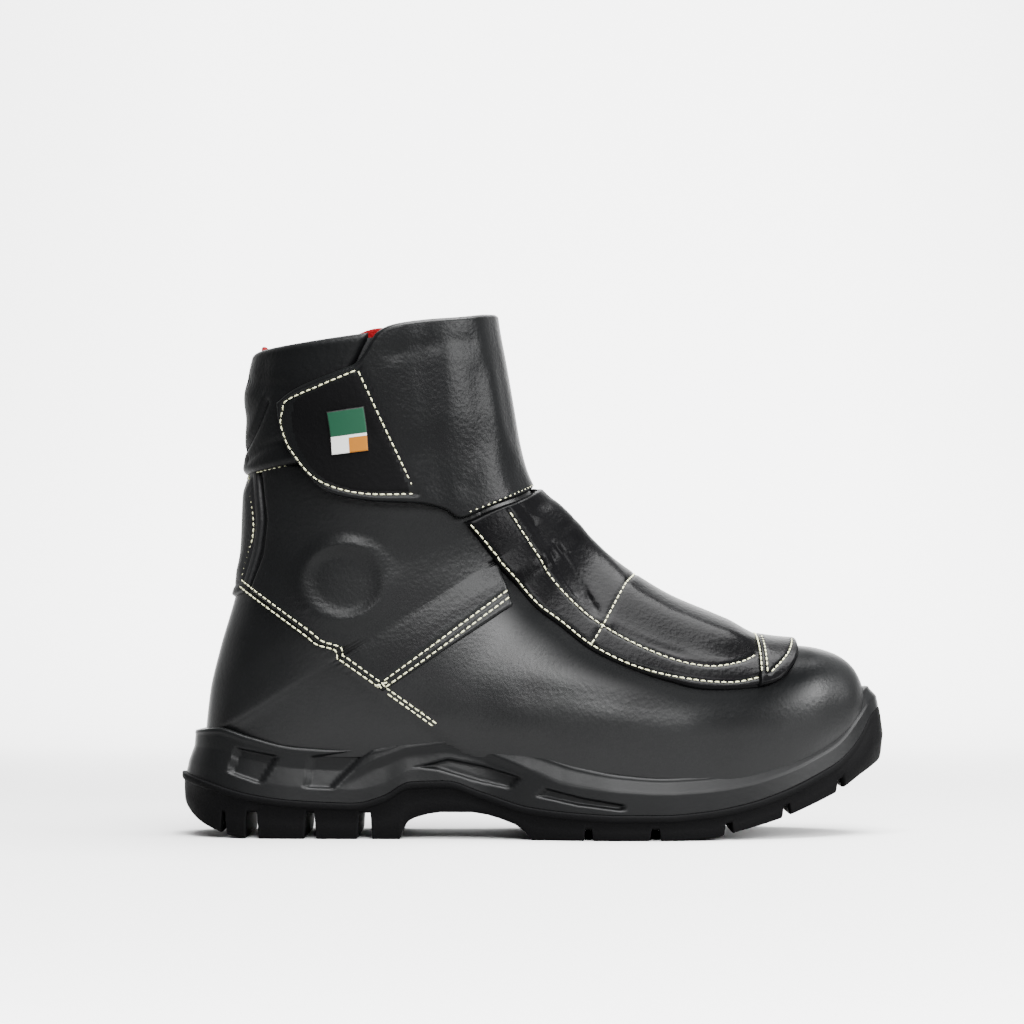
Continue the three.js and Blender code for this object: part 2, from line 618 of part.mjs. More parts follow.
function makeGuard() {
  const inside = (column, q) => {
    const overQuarter = smooth(Math.abs(column.p), 0.50, 0.70) * (1 - smooth(q, 0.42, 0.50));
    return clearance + (quarterThickness + clearance) * overQuarter + clearance * smooth(q, 0.7, 0.9);
  };
  const outside = (column, q) => {
    const across = 1 - smooth(Math.abs(column.p), 0.50, 0.80);
    const along = smooth(q, -0.12, 0.10) * (1 - smooth(q, 0.80, 0.95));
    const edgeHeight = guardEdge + (guardToe - guardEdge) * smooth(q, 0.80, 0.92);
    return inside(column, q) + edgeHeight + (guardPad - guardEdge) * across * along;
  };
  return layer(guardColumns(18), [...steps(0, 0.88, 14), ...steps(0.91, 1, 5)], inside, outside);
}

// Guard toe tab: the small stitched piece over the guard's front end
function makeGuardTab() {
  const lift = 3 * clearance + guardToe;
  return layer(guardColumns(18), [0.93, 0.946, 0.964, 0.982, 0.995], () => lift, () => lift + tabThickness);
}

const leather = 0x1c1c1d;
const rubber = 0x18191a;
const boot = new THREE.Group();
boot.name = 'metatarsal_guard_boot';
boot.add(
  meshOf('outsole', makeOutsole(), rubber, 0.6),
  meshOf('midsole', makeMidsole(), 0x202122, 0.55),
  meshOf('insole', makeInsole(), 0x2c2c2e, 0.9),
  meshOf('upper', makeUpper(), leather, 0.5),
  meshOf('collar', makeCollar(), leather, 0.55),
  meshOf('quarter_outer', makeQuarter(-1), leather, 0.5),
  meshOf('quarter_inner', makeQuarter(1), leather, 0.5),
  meshOf('back_strip', makeBackStrip(), leather, 0.5),
  meshOf('cuff', makeCuff(), leather, 0.45),
  meshOf('metatarsal_guard', makeGuard(), leather, 0.45),
  meshOf('guard_toe_tab', makeGuardTab(), leather, 0.45),
  meshOf('safety_label', makeLabel(), 0x1f8a4c, 0.6),
);
boot.position.set(-soleLength / 2, 0, 0);

export default boot;
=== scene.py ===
import math
import bmesh
import bpy
import numpy as np
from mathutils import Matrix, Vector
from mathutils.geometry import delaunay_2d_cdt


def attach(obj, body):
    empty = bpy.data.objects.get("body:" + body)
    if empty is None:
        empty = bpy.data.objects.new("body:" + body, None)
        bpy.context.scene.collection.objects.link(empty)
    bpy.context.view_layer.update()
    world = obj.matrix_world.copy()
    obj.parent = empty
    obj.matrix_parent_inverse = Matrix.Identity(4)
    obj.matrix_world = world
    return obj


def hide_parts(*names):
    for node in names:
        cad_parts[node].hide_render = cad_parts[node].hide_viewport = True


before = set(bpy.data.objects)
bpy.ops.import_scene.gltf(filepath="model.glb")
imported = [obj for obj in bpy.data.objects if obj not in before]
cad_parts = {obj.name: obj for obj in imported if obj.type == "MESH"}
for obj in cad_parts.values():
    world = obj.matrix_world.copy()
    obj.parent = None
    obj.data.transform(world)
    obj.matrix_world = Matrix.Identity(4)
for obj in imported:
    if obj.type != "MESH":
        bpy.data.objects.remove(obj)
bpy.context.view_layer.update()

# Studio: a pale paper floor that runs up into a backdrop, one broad soft box above, a weak one in front and
# one out past the toe. The camera looks square at the outer side of the boot from a hand above the floor.
MM = 0.001
HALF_LENGTH = 152.0
CAMERA_PLACE, CAMERA_LENS, CAMERA_RISE = (-9.3, -1500.0, 100.0), 121.6, 1.49
camera_data = bpy.data.cameras.new("camera")
camera_data.sensor_width = 36
camera_data.lens = CAMERA_LENS
camera_data.clip_start = 0.1
camera_data.clip_end = 50
camera = bpy.data.objects.new("camera", camera_data)
bpy.context.scene.collection.objects.link(camera)
camera.location = Vector(CAMERA_PLACE) * MM
camera.rotation_euler = (math.radians(90 + CAMERA_RISE), 0, 0)
bpy.context.scene.camera = camera


def finish_of(name, color, roughness, specular=0.5):
    """A plain principled material to build a finish on."""
    material = bpy.data.materials.new(name)
    material.use_nodes = True
    shader = material.node_tree.nodes["Principled BSDF"]
    shader.inputs["Base Color"].default_value = (*color, 1)
    shader.inputs["Roughness"].default_value = roughness
    shader.inputs["Specular IOR Level"].default_value = specular
    return material, material.node_tree, shader


def add_node(tree, kind, inputs, **settings):
    """A shader node: its own settings by name, and its inputs as values or as other nodes' outputs."""
    made = tree.nodes.new("ShaderNode" + kind)
    for name, value in settings.items():
        setattr(made, name, value)
    for name, value in inputs.items():
        if isinstance(value, bpy.types.NodeSocket):
            tree.links.new(value, made.inputs[name])
        else:
            made.inputs[name].default_value = value
    return made


def mesh_object(name, points, faces, material):
    """A smooth shaded mesh from points in millimetres of the boot's own frame (x from the heel)."""
    mesh = bpy.data.meshes.new(name)
    shifted = (np.asarray(points, dtype=float) - (HALF_LENGTH, 0, 0)) * MM
    mesh.from_pydata(shifted.tolist(), [], [tuple(map(int, face)) for face in faces])
    mesh.update()
    mesh.shade_smooth()
    thing = bpy.data.objects.new(name, mesh)
    bpy.context.scene.collection.objects.link(thing)
    mesh.materials.append(material)
    return thing


PAPER_NEAR, PAPER_FAR = (0.34, 0.34, 0.34), (0.10, 0.10, 0.10)
paper, paper_tree, paper_shader = finish_of("backdrop_paper", PAPER_NEAR, 0.9, 0.1)
paper_shader.inputs["Emission Color"].default_value = (1, 1, 1, 1)
paper_spot = add_node(paper_tree, "NewGeometry", {}).outputs["Position"]
paper_split = add_node(paper_tree, "SeparateXYZ", {0: paper_spot})
paper_wide = add_node(paper_tree, "Math", {0: paper_split.outputs["X"]}, operation="ABSOLUTE").outputs[0]
paper_far = add_node(paper_tree, "VectorMath", {0: paper_spot}, operation="LENGTH").outputs["Value"]


def paper_fade(source, start, end, value_at_start, value_at_end, interpolation="LINEAR"):
    """A value that changes from one place on the paper to another, in metres."""
    ranges = {"Value": source, "From Min": start, "From Max": end, "To Min": value_at_start,
              "To Max": value_at_end}
    return add_node(paper_tree, "MapRange", ranges, interpolation_type=interpolation).outputs["Result"]


# The paper glows most behind and under the boot and less to the sides and towards the camera
side_glow = paper_fade(paper_wide, 0.50, 0.95, 1.0, 0.22)
front_glow = paper_fade(paper_split.outputs["Y"], -1.1, -0.70, 0.22, 1.0)
# Near the boot the lamps light the paper; its own glow makes up for their fall-off further away
paper_power = paper_fade(paper_far, 0.25, 1.5, 0.0, 3.8, "SMOOTHERSTEP")
paper_glow = add_node(paper_tree, "Math", {0: side_glow, 1: front_glow}, operation="MULTIPLY").outputs[0]
paper_glow = add_node(paper_tree, "Math", {0: paper_glow, 1: paper_power}, operation="MULTIPLY").outputs[0]
paper_tree.links.new(paper_glow, paper_shader.inputs["Emission Strength"])
paper_tone = add_node(paper_tree, "Mix", {0: paper_fade(paper_wide, 0.27, 0.70, 1.0, 0.0),
                                          6: (*PAPER_FAR, 1), 7: (*PAPER_NEAR, 1)}, data_type="RGBA")
paper_tree.links.new(paper_tone.outputs[2], paper_shader.inputs["Base Color"])
PAPER_REACH, PAPER_TOP, BEND_START, BEND_RADIUS = 9000, 3200, 900, 700
sweep = [(-PAPER_REACH, 0)]
for a in np.linspace(0, math.pi / 2, 12):
    sweep.append((BEND_START + BEND_RADIUS * math.sin(a), BEND_RADIUS - BEND_RADIUS * math.cos(a)))
sweep.append((BEND_START + BEND_RADIUS, PAPER_TOP))
paper_points = [(x, y, z) for y, z in sweep for x in (-PAPER_REACH, PAPER_REACH)]
paper_faces = [(2 * i, 2 * i + 1, 2 * i + 3, 2 * i + 2) for i in range(len(sweep) - 1)]
mesh_object("backdrop", paper_points, paper_faces, paper)


def soft_box(name, size, power, place, aim):
    """A rectangular lamp at a place, turned to what it aims at, all in metres and watts."""
    lamp = bpy.data.lights.new(name, "AREA")
    lamp.shape = "RECTANGLE"
    lamp.size, lamp.size_y = size
    lamp.energy = power
    thing = bpy.data.objects.new(name, lamp)
    thing.location = place
    thing.rotation_euler = (Vector(aim) - Vector(place)).to_track_quat("-Z", "Y").to_euler()
    bpy.context.scene.collection.objects.link(thing)


soft_box("overhead_box", (1.7, 1.0), 280, (0.20, -0.10, 1.5), (0.02, 0, 0.05))
soft_box("front_box", (1.1, 0.45), 72, (0.22, -1.12, 0.76), (0.02, 0, 0.07))
soft_box("right_box", (0.7, 0.6), 66, (1.28, -0.52, 0.60), (0.03, 0, 0.12))
world = bpy.data.worlds.new("studio")
world.use_nodes = True
world.node_tree.nodes["Background"].inputs["Color"].default_value = (1, 1, 1, 1)
world.node_tree.nodes["Background"].inputs["Strength"].default_value = 0.25
bpy.context.scene.world = world


# Upper: full grain leather sewn to one hollow body over the last, about 2.6 mm thick with its lining.
# Sections run from a back point to a front point, from above the collar down the heel and out to the toe;
# outer is the lateral side, inner the medial side, all in shares of sole length, boot height and sole width.
SOLE_LENGTH, SOLE_WIDTH, BOOT_HEIGHT = 304.0, 106.0, 225.0
WALL = 2.6
RIM_ROW, HEEL_ROW, TOE_ROW = 1, 9, 25
upper_columns = ("backX", "backZ", "frontX", "frontZ", "outer", "inner", "outerBase", "innerBase",
                 "middle", "widest", "backPower", "frontPower")
upper_rows = (
    (0.120, 0.982, 0.434, 1.040, -0.396, 0.396, 0, 0, 0, 0.50, 2.1, 2.1),
    (0.113, 0.913, 0.441, 0.969, -0.394, 0.394, 0, 0, 0, 0.50, 2.1, 2.1),
    (0.101, 0.836, 0.451, 0.896, -0.390, 0.390, 0, 0, 0, 0.50, 2.1, 2.1),
    (0.103, 0.742, 0.461, 0.818, -0.382, 0.382, 0, 0, 0, 0.50, 2.1, 2.1),
    (0.094, 0.644, 0.470, 0.747, -0.373, 0.373, 0, 0, 0, 0.48, 2.1, 2.1),
    (0.091, 0.547, 0.481, 0.691, -0.363, 0.363, 0, 0, 0, 0.47, 2.1, 2.1),
    (0.074, 0.449, 0.496, 0.649, -0.354, 0.349, 0, 0, 0, 0.46, 2.1, 2.1),
    (0.054, 0.356, 0.510, 0.624, -0.349, 0.340, 0, 0, 0, 0.45, 2.1, 2.1),
    (0.039, 0.267, 0.523, 0.609, -0.349, 0.335, 0, 0, 0, 0.44, 2.2, 2.1),
    (0.033, 0.187, 0.533, 0.596, -0.349, 0.330, 0, 0, 0, 0.44, 2.4, 2.1),
    (0.038, 0.182, 0.536, 0.592, -0.349, 0.330, -0.090, 0.090, 0, 0.44, 2.4, 2.1),
    (0.053, 0.176, 0.540, 0.585, -0.351, 0.330, -0.160, 0.160, 0.003, 0.44, 2.4, 2.1),
    (0.082, 0.167, 0.549, 0.572, -0.354, 0.330, -0.236, 0.236, 0.008, 0.44, 2.4, 2.1),
    (0.141, 0.158, 0.563, 0.548, -0.358, 0.330, -0.297, 0.288, 0.014, 0.44, 2.4, 2.0),
    (0.247, 0.153, 0.582, 0.521, -0.366, 0.328, -0.321, 0.283, 0.024, 0.40, 2.4, 2.0),
    (0.362, 0.160, 0.610, 0.490, -0.387, 0.335, -0.338, 0.262, 0.033, 0.36, 2.4, 2.0),
    (0.477, 0.147, 0.643, 0.460, -0.423, 0.368, -0.378, 0.286, 0.038, 0.32, 2.5, 2.0),
    (0.586, 0.113, 0.686, 0.426, -0.449, 0.410, -0.430, 0.366, 0.038, 0.30, 2.5, 2.1),
    (0.681, 0.099, 0.738, 0.396, -0.445, 0.437, -0.434, 0.425, 0.038, 0.30, 2.6, 2.2),
    (0.763, 0.104, 0.791, 0.372, -0.410, 0.434, -0.401, 0.423, 0.038, 0.32, 2.6, 2.4),
    (0.832, 0.122, 0.844, 0.360, -0.350, 0.401, -0.326, 0.386, 0.038, 0.33, 2.6, 2.5),
    (0.888, 0.151, 0.893, 0.354, -0.268, 0.344, -0.240, 0.328, 0.040, 0.33, 2.6, 2.5),
    (0.924, 0.173, 0.931, 0.339, -0.184, 0.283, -0.160, 0.268, 0.045, 0.30, 2.5, 2.4),
    (0.944, 0.191, 0.956, 0.311, -0.125, 0.241, -0.110, 0.230, 0.052, 0.25, 2.4, 2.3),
    (0.954, 0.204, 0.969, 0.269, -0.085, 0.203, -0.085, 0.203, 0.057, 0.10, 2.2, 2.2),
    (0.957, 0.211, 0.975, 0.222, -0.071, 0.189, -0.071, 0.189, 0.058, 0.02, 2.2, 2.2),
)


def table_of(columns, rows, units):
    """Columns by name, each share turned into millimetres by the size that it follows."""
    values = np.array(rows, dtype=float)
    return {name: values[:, i] * units.get(name, 1) for i, name in enumerate(columns)}


upper_table = table_of(upper_columns, upper_rows, {
    "backX": SOLE_LENGTH, "frontX": SOLE_LENGTH, "backZ": BOOT_HEIGHT, "frontZ": BOOT_HEIGHT,
    "outer": SOLE_WIDTH, "inner": SOLE_WIDTH, "outerBase": SOLE_WIDTH, "innerBase": SOLE_WIDTH,
    "middle": SOLE_WIDTH,
})


def read_column(values, at):
    """A monotone cubic through evenly numbered rows."""
    step = np.diff(values)
    product = step[:-1] * step[1:]
    total = np.where(product > 0, step[:-1] + step[1:], 1)
    slope = np.concatenate(([step[0]], np.where(product > 0, 2 * product / total, 0), [step[-1]]))
    at = np.asarray(at, dtype=float)
    i = np.clip(np.floor(at).astype(int), 0, len(values) - 2)
    t = np.clip(at - i, -1, 1)
    a, b, rise = slope[i], slope[i + 1], step[i]
    inside = values[i] + t * (a + t * (3 * rise - 2 * a - b + t * (a + b - 2 * rise)))
    return np.where(t < 0, values[0] + slope[0] * t, inside)


def bare_leather(u, v):
    """Points of the upper's outer face: u -1 lateral base, 0 front ridge, 1 medial base."""
    row = {name: read_column(upper_table[name], v) for name in upper_columns}
    closed = v <= HEEL_ROW
    length = np.hypot(row["frontX"] - row["backX"], row["frontZ"] - row["backZ"])
    wide = np.where(u < 0, row["outer"], row["inner"]) - row["middle"]
    base = np.where(closed, 0, np.where(u < 0, row["outerBase"], row["innerBase"]) - row["middle"])
    mean_wide = (row["inner"] - row["outer"]) / 2
    mean_base = np.where(closed, 0, (row["innerBase"] - row["outerBase"]) / 2)
    front_run = np.hypot((1 - row["widest"]) * length, mean_wide)
    back_run = np.hypot(row["widest"] * length, mean_wide - mean_base)
    split = front_run / (front_run + back_run)
    turn = np.minimum(1, np.abs(u))
    angle = np.pi / 2 * np.clip(turn / split, 0, 1)
    share_front = row["widest"] + (1 - row["widest"]) * np.abs(np.cos(angle)) ** (2 / row["frontPower"])
    side_front = wide * np.abs(np.sin(angle)) ** (2 / row["frontPower"])
    cut = 1 - np.clip(base / wide, 0, 0.9999) ** row["backPower"]
    angle = np.arcsin(np.sqrt(cut)) * np.clip((turn - split) / (1 - split), 0, 1)
    share_back = row["widest"] * (1 - np.abs(np.sin(angle)) ** (2 / row["backPower"])
                                  / cut ** (1 / row["backPower"]))
    side_back = wide * np.abs(np.cos(angle)) ** (2 / row["backPower"])
    share = np.where(turn <= split, share_front, share_back)
    side = np.where(turn <= split, side_front, side_back)
    return np.stack((row["backX"] + share * (row["frontX"] - row["backX"]), row["middle"] + side,
                     row["backZ"] + share * (row["frontZ"] - row["backZ"])), axis=-1)


def wrapped(u, v):
    """Closed sections run round the back; open ones stop at the base."""
    return np.where(v <= HEEL_ROW, (u + 1) % 2 - 1, np.clip(u, -1, 1))


def smooth_step(value, start, end):
    """0 before start and 1 past end, eased between them."""
    t = np.clip((value - start) / (end - start), 0, 1)
    return t * t * (3 - 2 * t)


def eased_leather(u, v):
    """The face with its turn at the heel row eased over about a row either way."""
    spread = 0.75 * smooth_step(1.9 - np.abs(v - HEEL_ROW - 0.3), 0, 1.2)
    total = 0
    for shift, weight in ((-1, 0.13), (-0.5, 0.22), (0, 0.30), (0.5, 0.22), (1, 0.13)):
        moved = v + shift * spread
        total = total + weight * bare_leather(wrapped(u, moved), moved)
    return total


def leather_face(u, v, lift=0.0):
    """Points and normals of the upper's face, moved out by lift."""
    u, v, lift = np.broadcast_arrays(np.asarray(u, float), np.asarray(v, float), np.asarray(lift, float))
    point = eased_leather(u, v)
    along = eased_leather(u + 0.006, v) - eased_leather(u - 0.006, v)
    low, high = np.clip(v - 0.03, -0.5, TOE_ROW), np.clip(v + 0.03, -0.5, TOE_ROW)
    down = eased_leather(u, high) - eased_leather(u, low)
    normal = np.cross(down, along)
    normal /= np.linalg.norm(normal, axis=-1, keepdims=True) + 1e-12
    return point + normal * lift[..., None], normal


def locate(side_points, side=-1):
    """u and v of side view points (x, z in millimetres) on the lateral (-1) or medial (1) face."""
    xz = np.asarray(side_points, dtype=float)
    x, z = xz[:, 0], xz[:, 1]
    low, high = np.zeros(len(x)), np.full(len(x), float(TOE_ROW))
    for _ in range(36):
        v = (low + high) / 2
        bx, bz, fx, fz = (read_column(upper_table[n], v) for n in ("backX", "backZ", "frontX", "frontZ"))
        above = (fx - bx) * (z - bz) - (fz - bz) * (x - bx) > 0
        high = np.where(above, v, high)
        low = np.where(above, low, v)
    v = (low + high) / 2
    near, far = np.zeros(len(x)), np.ones(len(x))
    for _ in range(36):
        u = (near + far) / 2
        ahead = bare_leather(side * u, v)[:, 0] > x
        near = np.where(ahead, u, near)
        far = np.where(ahead, far, u)
    return np.stack((side * (near + far) / 2, v), axis=-1)


def rounded_path(points, per_leg=8):
    """A Catmull-Rom curve through given points."""
    p = np.asarray(points, dtype=float)
    p = np.vstack((2 * p[:1] - p[1:2], p, 2 * p[-1:] - p[-2:-1]))
    t = np.linspace(0, 1, per_leg, endpoint=False)[:, None]
    legs = []
    for a, b, c, d in zip(p[:-3], p[1:-2], p[2:-1], p[3:]):
        square, cube = 2 * a - 5 * b + 4 * c - d, 3 * b - a - 3 * c + d
        legs.append(0.5 * (2 * b + (c - a) * t + square * t ** 2 + cube * t ** 3))
    return np.vstack(legs + [p[-2:-1]])


def run_along(points):
    """How far along a path each of its points lies."""
    return np.concatenate(([0], np.cumsum(np.linalg.norm(np.diff(points, axis=0), axis=1))))


def evened(path, gap):
    """The path again with points an even gap apart."""
    run = run_along(path)
    count = max(2, int(round(run[-1] / gap)) + 1)
    at = np.linspace(0, run[-1], count)
    return np.stack([np.interp(at, run, path[:, k]) for k in range(path.shape[1])], axis=-1)


def distance_to(points, path, reach=26.0):
    """How far each point lies from a path of close points, for points within reach of it."""
    out_of_reach, batch = 99.0, 8000
    flat = points.reshape(-1, 3)
    found = np.full(len(flat), out_of_reach)
    in_box = (flat > path.min(axis=0) - reach) & (flat < path.max(axis=0) + reach)
    near = np.flatnonzero(in_box.all(axis=1))
    own = (path ** 2).sum(axis=1)
    for start in range(0, len(near), batch):
        part = flat[near[start:start + batch]]
        square = (part ** 2).sum(axis=1)[:, None] + own[None, :] - 2 * part @ path.T
        found[near[start:start + batch]] = np.sqrt(np.maximum(square.min(axis=1), 0))
    return found.reshape(points.shape[:-1])


def trough(points, path, width):
    """1 on a path and falling to 0 over about twice the width beside it."""
    return np.exp(-(distance_to(points, path) / width) ** 2)


def on_face(side_points, side=-1):
    """The path on the upper's face under side view points."""
    uv = locate(evened(rounded_path(side_points), 1.0), side)
    return leather_face(uv[:, 0], uv[:, 1])[0]


def spans(ends, counts):
    """Numbers evenly spaced within each span, where the next span starts at the end of the last."""
    parts = [np.linspace(ends[0], ends[1], counts[0])]
    for low, high, count in zip(ends[1:-1], ends[2:], counts[1:]):
        parts.append(np.linspace(low, high, count)[1:])
    return np.concatenate(parts)


def grid_faces(rows, columns, flip=False):
    """Four sided faces of a grid of points, row after row."""
    first = (np.arange(rows - 1)[:, None] * columns + np.arange(columns - 1)[None, :]).ravel()
    quad = np.stack((first, first + columns, first + columns + 1, first + 1), axis=-1)
    return quad[:, ::-1] if flip else quad


def add_bump(tree, shader, height, strength, distance):
    """Fine relief on a finish."""
    bump = add_node(tree, "Bump", {"Strength": strength, "Distance": distance, "Height": height})
    tree.links.new(bump.outputs["Normal"], shader.inputs["Normal"])


def cloudy_gloss(tree, shader, cloud, smoothest, roughest):
    """Roughness that wanders between two values."""
    gloss = add_node(tree, "MapRange", {"Value": cloud, "To Min": smoothest, "To Max": roughest})
    tree.links.new(gloss.outputs["Result"], shader.inputs["Roughness"])


def leather_finish(name, color, roughness, grain=0.14, grain_size=520.0, specular=0.10):
    """Smooth full grain leather: pebbled pores, faint colour cloud, small changes of gloss."""
    material, tree, shader = finish_of(name, color, roughness, specular)
    place = add_node(tree, "TexCoord", {}).outputs["Object"]
    pores = add_node(tree, "TexVoronoi", {"Vector": place, "Scale": grain_size, "Smoothness": 0.4},
                     feature="SMOOTH_F1").outputs["Distance"]
    fibre_size = grain_size * 1.9
    fibre = add_node(tree, "TexNoise", {"Vector": place, "Scale": fibre_size, "Detail": 3}).outputs["Fac"]
    cloud = add_node(tree, "TexNoise", {"Vector": place, "Scale": 26, "Detail": 5}).outputs["Fac"]
    height = add_node(tree, "Math", {0: pores, 1: 0.8, 2: fibre}, operation="MULTIPLY_ADD").outputs[0]
    add_bump(tree, shader, height, grain, 0.0006)
    darker, lighter = (*[c * 0.72 for c in color], 1), (*[c * 1.45 for c in color], 1)
    tint = add_node(tree, "Mix", {0: cloud, 6: darker, 7: lighter}, data_type="RGBA")
    tree.links.new(tint.outputs[2], shader.inputs["Base Color"])
    cloudy_gloss(tree, shader, cloud, roughness - 0.07, roughness + 0.09)
    return material


LEATHER_GLOSS = 0.135
leather = leather_finish("black_full_grain_leather", (0.0014, 0.0015, 0.0016), 0.33, 0.09,
                         specular=LEATHER_GLOSS)

# The shaft's slack folds and the flex lines of the vamp, as soft troughs: side view paths, width, depth
upper_creases = (
    (((52, 96), (70, 108), (96, 118), (118, 128)), 7.0, 0.9),
    (((44, 120), (60, 126), (84, 132)), 6.0, 0.6),
    (((150, 62), (170, 60), (196, 56), (214, 55)), 6.0, 0.35),
)
upper_v = spans((RIM_ROW, HEEL_ROW, 13, TOE_ROW), (120, 31, 110))
upper_u = np.linspace(-1, 1, 221)
grid_u, grid_v = np.meshgrid(upper_u, upper_v)
upper_points, upper_normals = leather_face(grid_u, grid_v)
relief = np.zeros(grid_u.shape)
for path, width, depth in upper_creases:
    for side in (-1, 1):
        relief -= depth * trough(upper_points, on_face(path, side), width)
# The vamp lies over the heel counter along the seam that runs down to the arch: the place where the seam
# starts, in the side view, and the direction square to it
COUNTER_SEAM_START, COUNTER_SEAM_SQUARE, COUNTER_STEP = (84.0, 66.5), (0.60, 0.80), 1.0
side_x, side_z = upper_points[..., 0], upper_points[..., 2]
seam_run = ((side_x - COUNTER_SEAM_START[0]) * COUNTER_SEAM_SQUARE[0]
            + (side_z - COUNTER_SEAM_START[1]) * COUNTER_SEAM_SQUARE[1])
relief += COUNTER_STEP * smooth_step(seam_run, -1.9, -1.1) * smooth_step(side_x, 60, 78)
# No relief at the very back, where the two sides meet
relief *= smooth_step(side_x, 20, 30)
upper_points = upper_points + upper_normals * relief[..., None]
upper_piece = mesh_object("upper_leather", upper_points.reshape(-1, 3), grid_faces(*grid_u.shape, flip=True),
                          leather)
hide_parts("upper")
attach(upper_piece, "root")


# Lining: red knitted textile over foam inside the boot, sewn in at the top edge and turned over it, where
# it peeks out above the collar at the back and in the gap beside the cuff.


def knitted_cloth(name, color, roughness, specular, loop_scale, strength):
    """A close knit: small round loops as bump."""
    material, tree, shader = finish_of(name, color, roughness, specular)
    place = add_node(tree, "TexCoord", {}).outputs["Object"]
    loops = add_node(tree, "TexVoronoi", {"Vector": place, "Scale": loop_scale})
    add_bump(tree, shader, loops.outputs["Distance"], strength, 0.0005)
    return material


lining_red = knitted_cloth("red_lining_textile", (0.055, 0.0004, 0.0012), 0.85, 0.03, 900, 0.5)

lining_rows = spans((24.5, HEEL_ROW, RIM_ROW + 0.1), (60, 70))
lining_u = np.linspace(-1, 1, 121)
lining_grid_u, lining_grid_v = np.meshgrid(lining_u, lining_rows)
lining_points, _ = leather_face(lining_grid_u, lining_grid_v, -WALL)
roll_turn = np.linspace(0, math.pi, 9)[1:]
roll_radius = WALL / 2 + 0.2
rim_points, rim_normals = leather_face(lining_u, RIM_ROW, -WALL / 2)
lining_peak = locate(((85.5, 211.0),))[0, 0]
# The roll stands up in a peak at the back and in one beside the cuff
roll_rise = 0.2 + 5.2 * np.exp(-((np.abs(lining_u) - 0.985) / 0.055) ** 2)
roll_rise = roll_rise + 3.6 * np.exp(-((lining_u - lining_peak) / 0.06) ** 2)
ROLL_HEIGHT, SKIRT_DROP, UP_THE_SHAFT = 1.2, 4.0, (-0.02, 0, 1)
roll = [rim_points - rim_normals * roll_radius * math.cos(a)
        + np.outer(roll_rise + ROLL_HEIGHT * math.sin(a) - ROLL_HEIGHT, UP_THE_SHAFT) for a in roll_turn]
skirt = rim_points + rim_normals * roll_radius - (0, 0, SKIRT_DROP)
start = rim_points - rim_normals * roll_radius + np.outer(roll_rise - ROLL_HEIGHT, UP_THE_SHAFT)
lining_all = np.concatenate((lining_points, start[None], np.array(roll), skirt[None]))
lining_piece = mesh_object("lining", lining_all.reshape(-1, 3), grid_faces(*lining_all.shape[:2]), lining_red)
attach(lining_piece, "root")


# Sole: an injected two layer unit. The rows give its outline, the underside of the tread, the lip where
# midsole and outsole meet, the top rim, and how far the rim leans in.
sole_columns = ("x", "outer", "inner", "tread", "lip", "rim", "lean")
sole_rows = (
    (0.000, 0.003, 0.003, 0.079, 0.120, 0.200, 0.061),
    (0.005, -0.104, 0.108, 0.062, 0.118, 0.201, 0.061),
    (0.020, -0.203, 0.203, 0.039, 0.113, 0.204, 0.059),
    (0.049, -0.288, 0.283, 0.017, 0.102, 0.207, 0.057),
    (0.099, -0.344, 0.335, 0.001, 0.084, 0.191, 0.052),
    (0.164, -0.368, 0.354, 0.000, 0.072, 0.172, 0.047),
    (0.247, -0.375, 0.344, 0.000, 0.067, 0.166, 0.047),
    (0.289, -0.378, 0.333, 0.000, 0.080, 0.172, 0.047),
    (0.329, -0.380, 0.321, 0.000, 0.107, 0.192, 0.047),
    (0.378, -0.389, 0.311, 0.000, 0.109, 0.211, 0.047),
    (0.428, -0.400, 0.314, 0.000, 0.088, 0.197, 0.047),
    (0.493, -0.442, 0.342, 0.000, 0.061, 0.167, 0.047),
    (0.559, -0.481, 0.399, 0.000, 0.051, 0.137, 0.047),
    (0.618, -0.500, 0.450, 0.000, 0.047, 0.122, 0.047),
    (0.678, -0.498, 0.486, 0.000, 0.047, 0.116, 0.047),
    (0.737, -0.472, 0.495, 0.003, 0.053, 0.119, 0.047),
    (0.796, -0.423, 0.472, 0.020, 0.067, 0.130, 0.049),
    (0.849, -0.358, 0.434, 0.040, 0.089, 0.151, 0.052),
    (0.895, -0.285, 0.382, 0.064, 0.116, 0.176, 0.057),
    (0.934, -0.206, 0.321, 0.088, 0.144, 0.204, 0.058),
    (0.964, -0.127, 0.255, 0.114, 0.184, 0.248, 0.060),
    (0.984, -0.057, 0.193, 0.130, 0.227, 0.273, 0.063),
    (0.996, 0.009, 0.127, 0.141, 0.240, 0.281, 0.066),
    (1.000, 0.061, 0.061, 0.151, 0.243, 0.283, 0.066),
)
sole_table = table_of(sole_columns, sole_rows, {
    "x": SOLE_LENGTH, "outer": SOLE_WIDTH, "inner": SOLE_WIDTH, "tread": BOOT_HEIGHT, "lip": BOOT_HEIGHT,
    "rim": BOOT_HEIGHT, "lean": SOLE_WIDTH,
})
SOLE_END = len(sole_rows) - 1


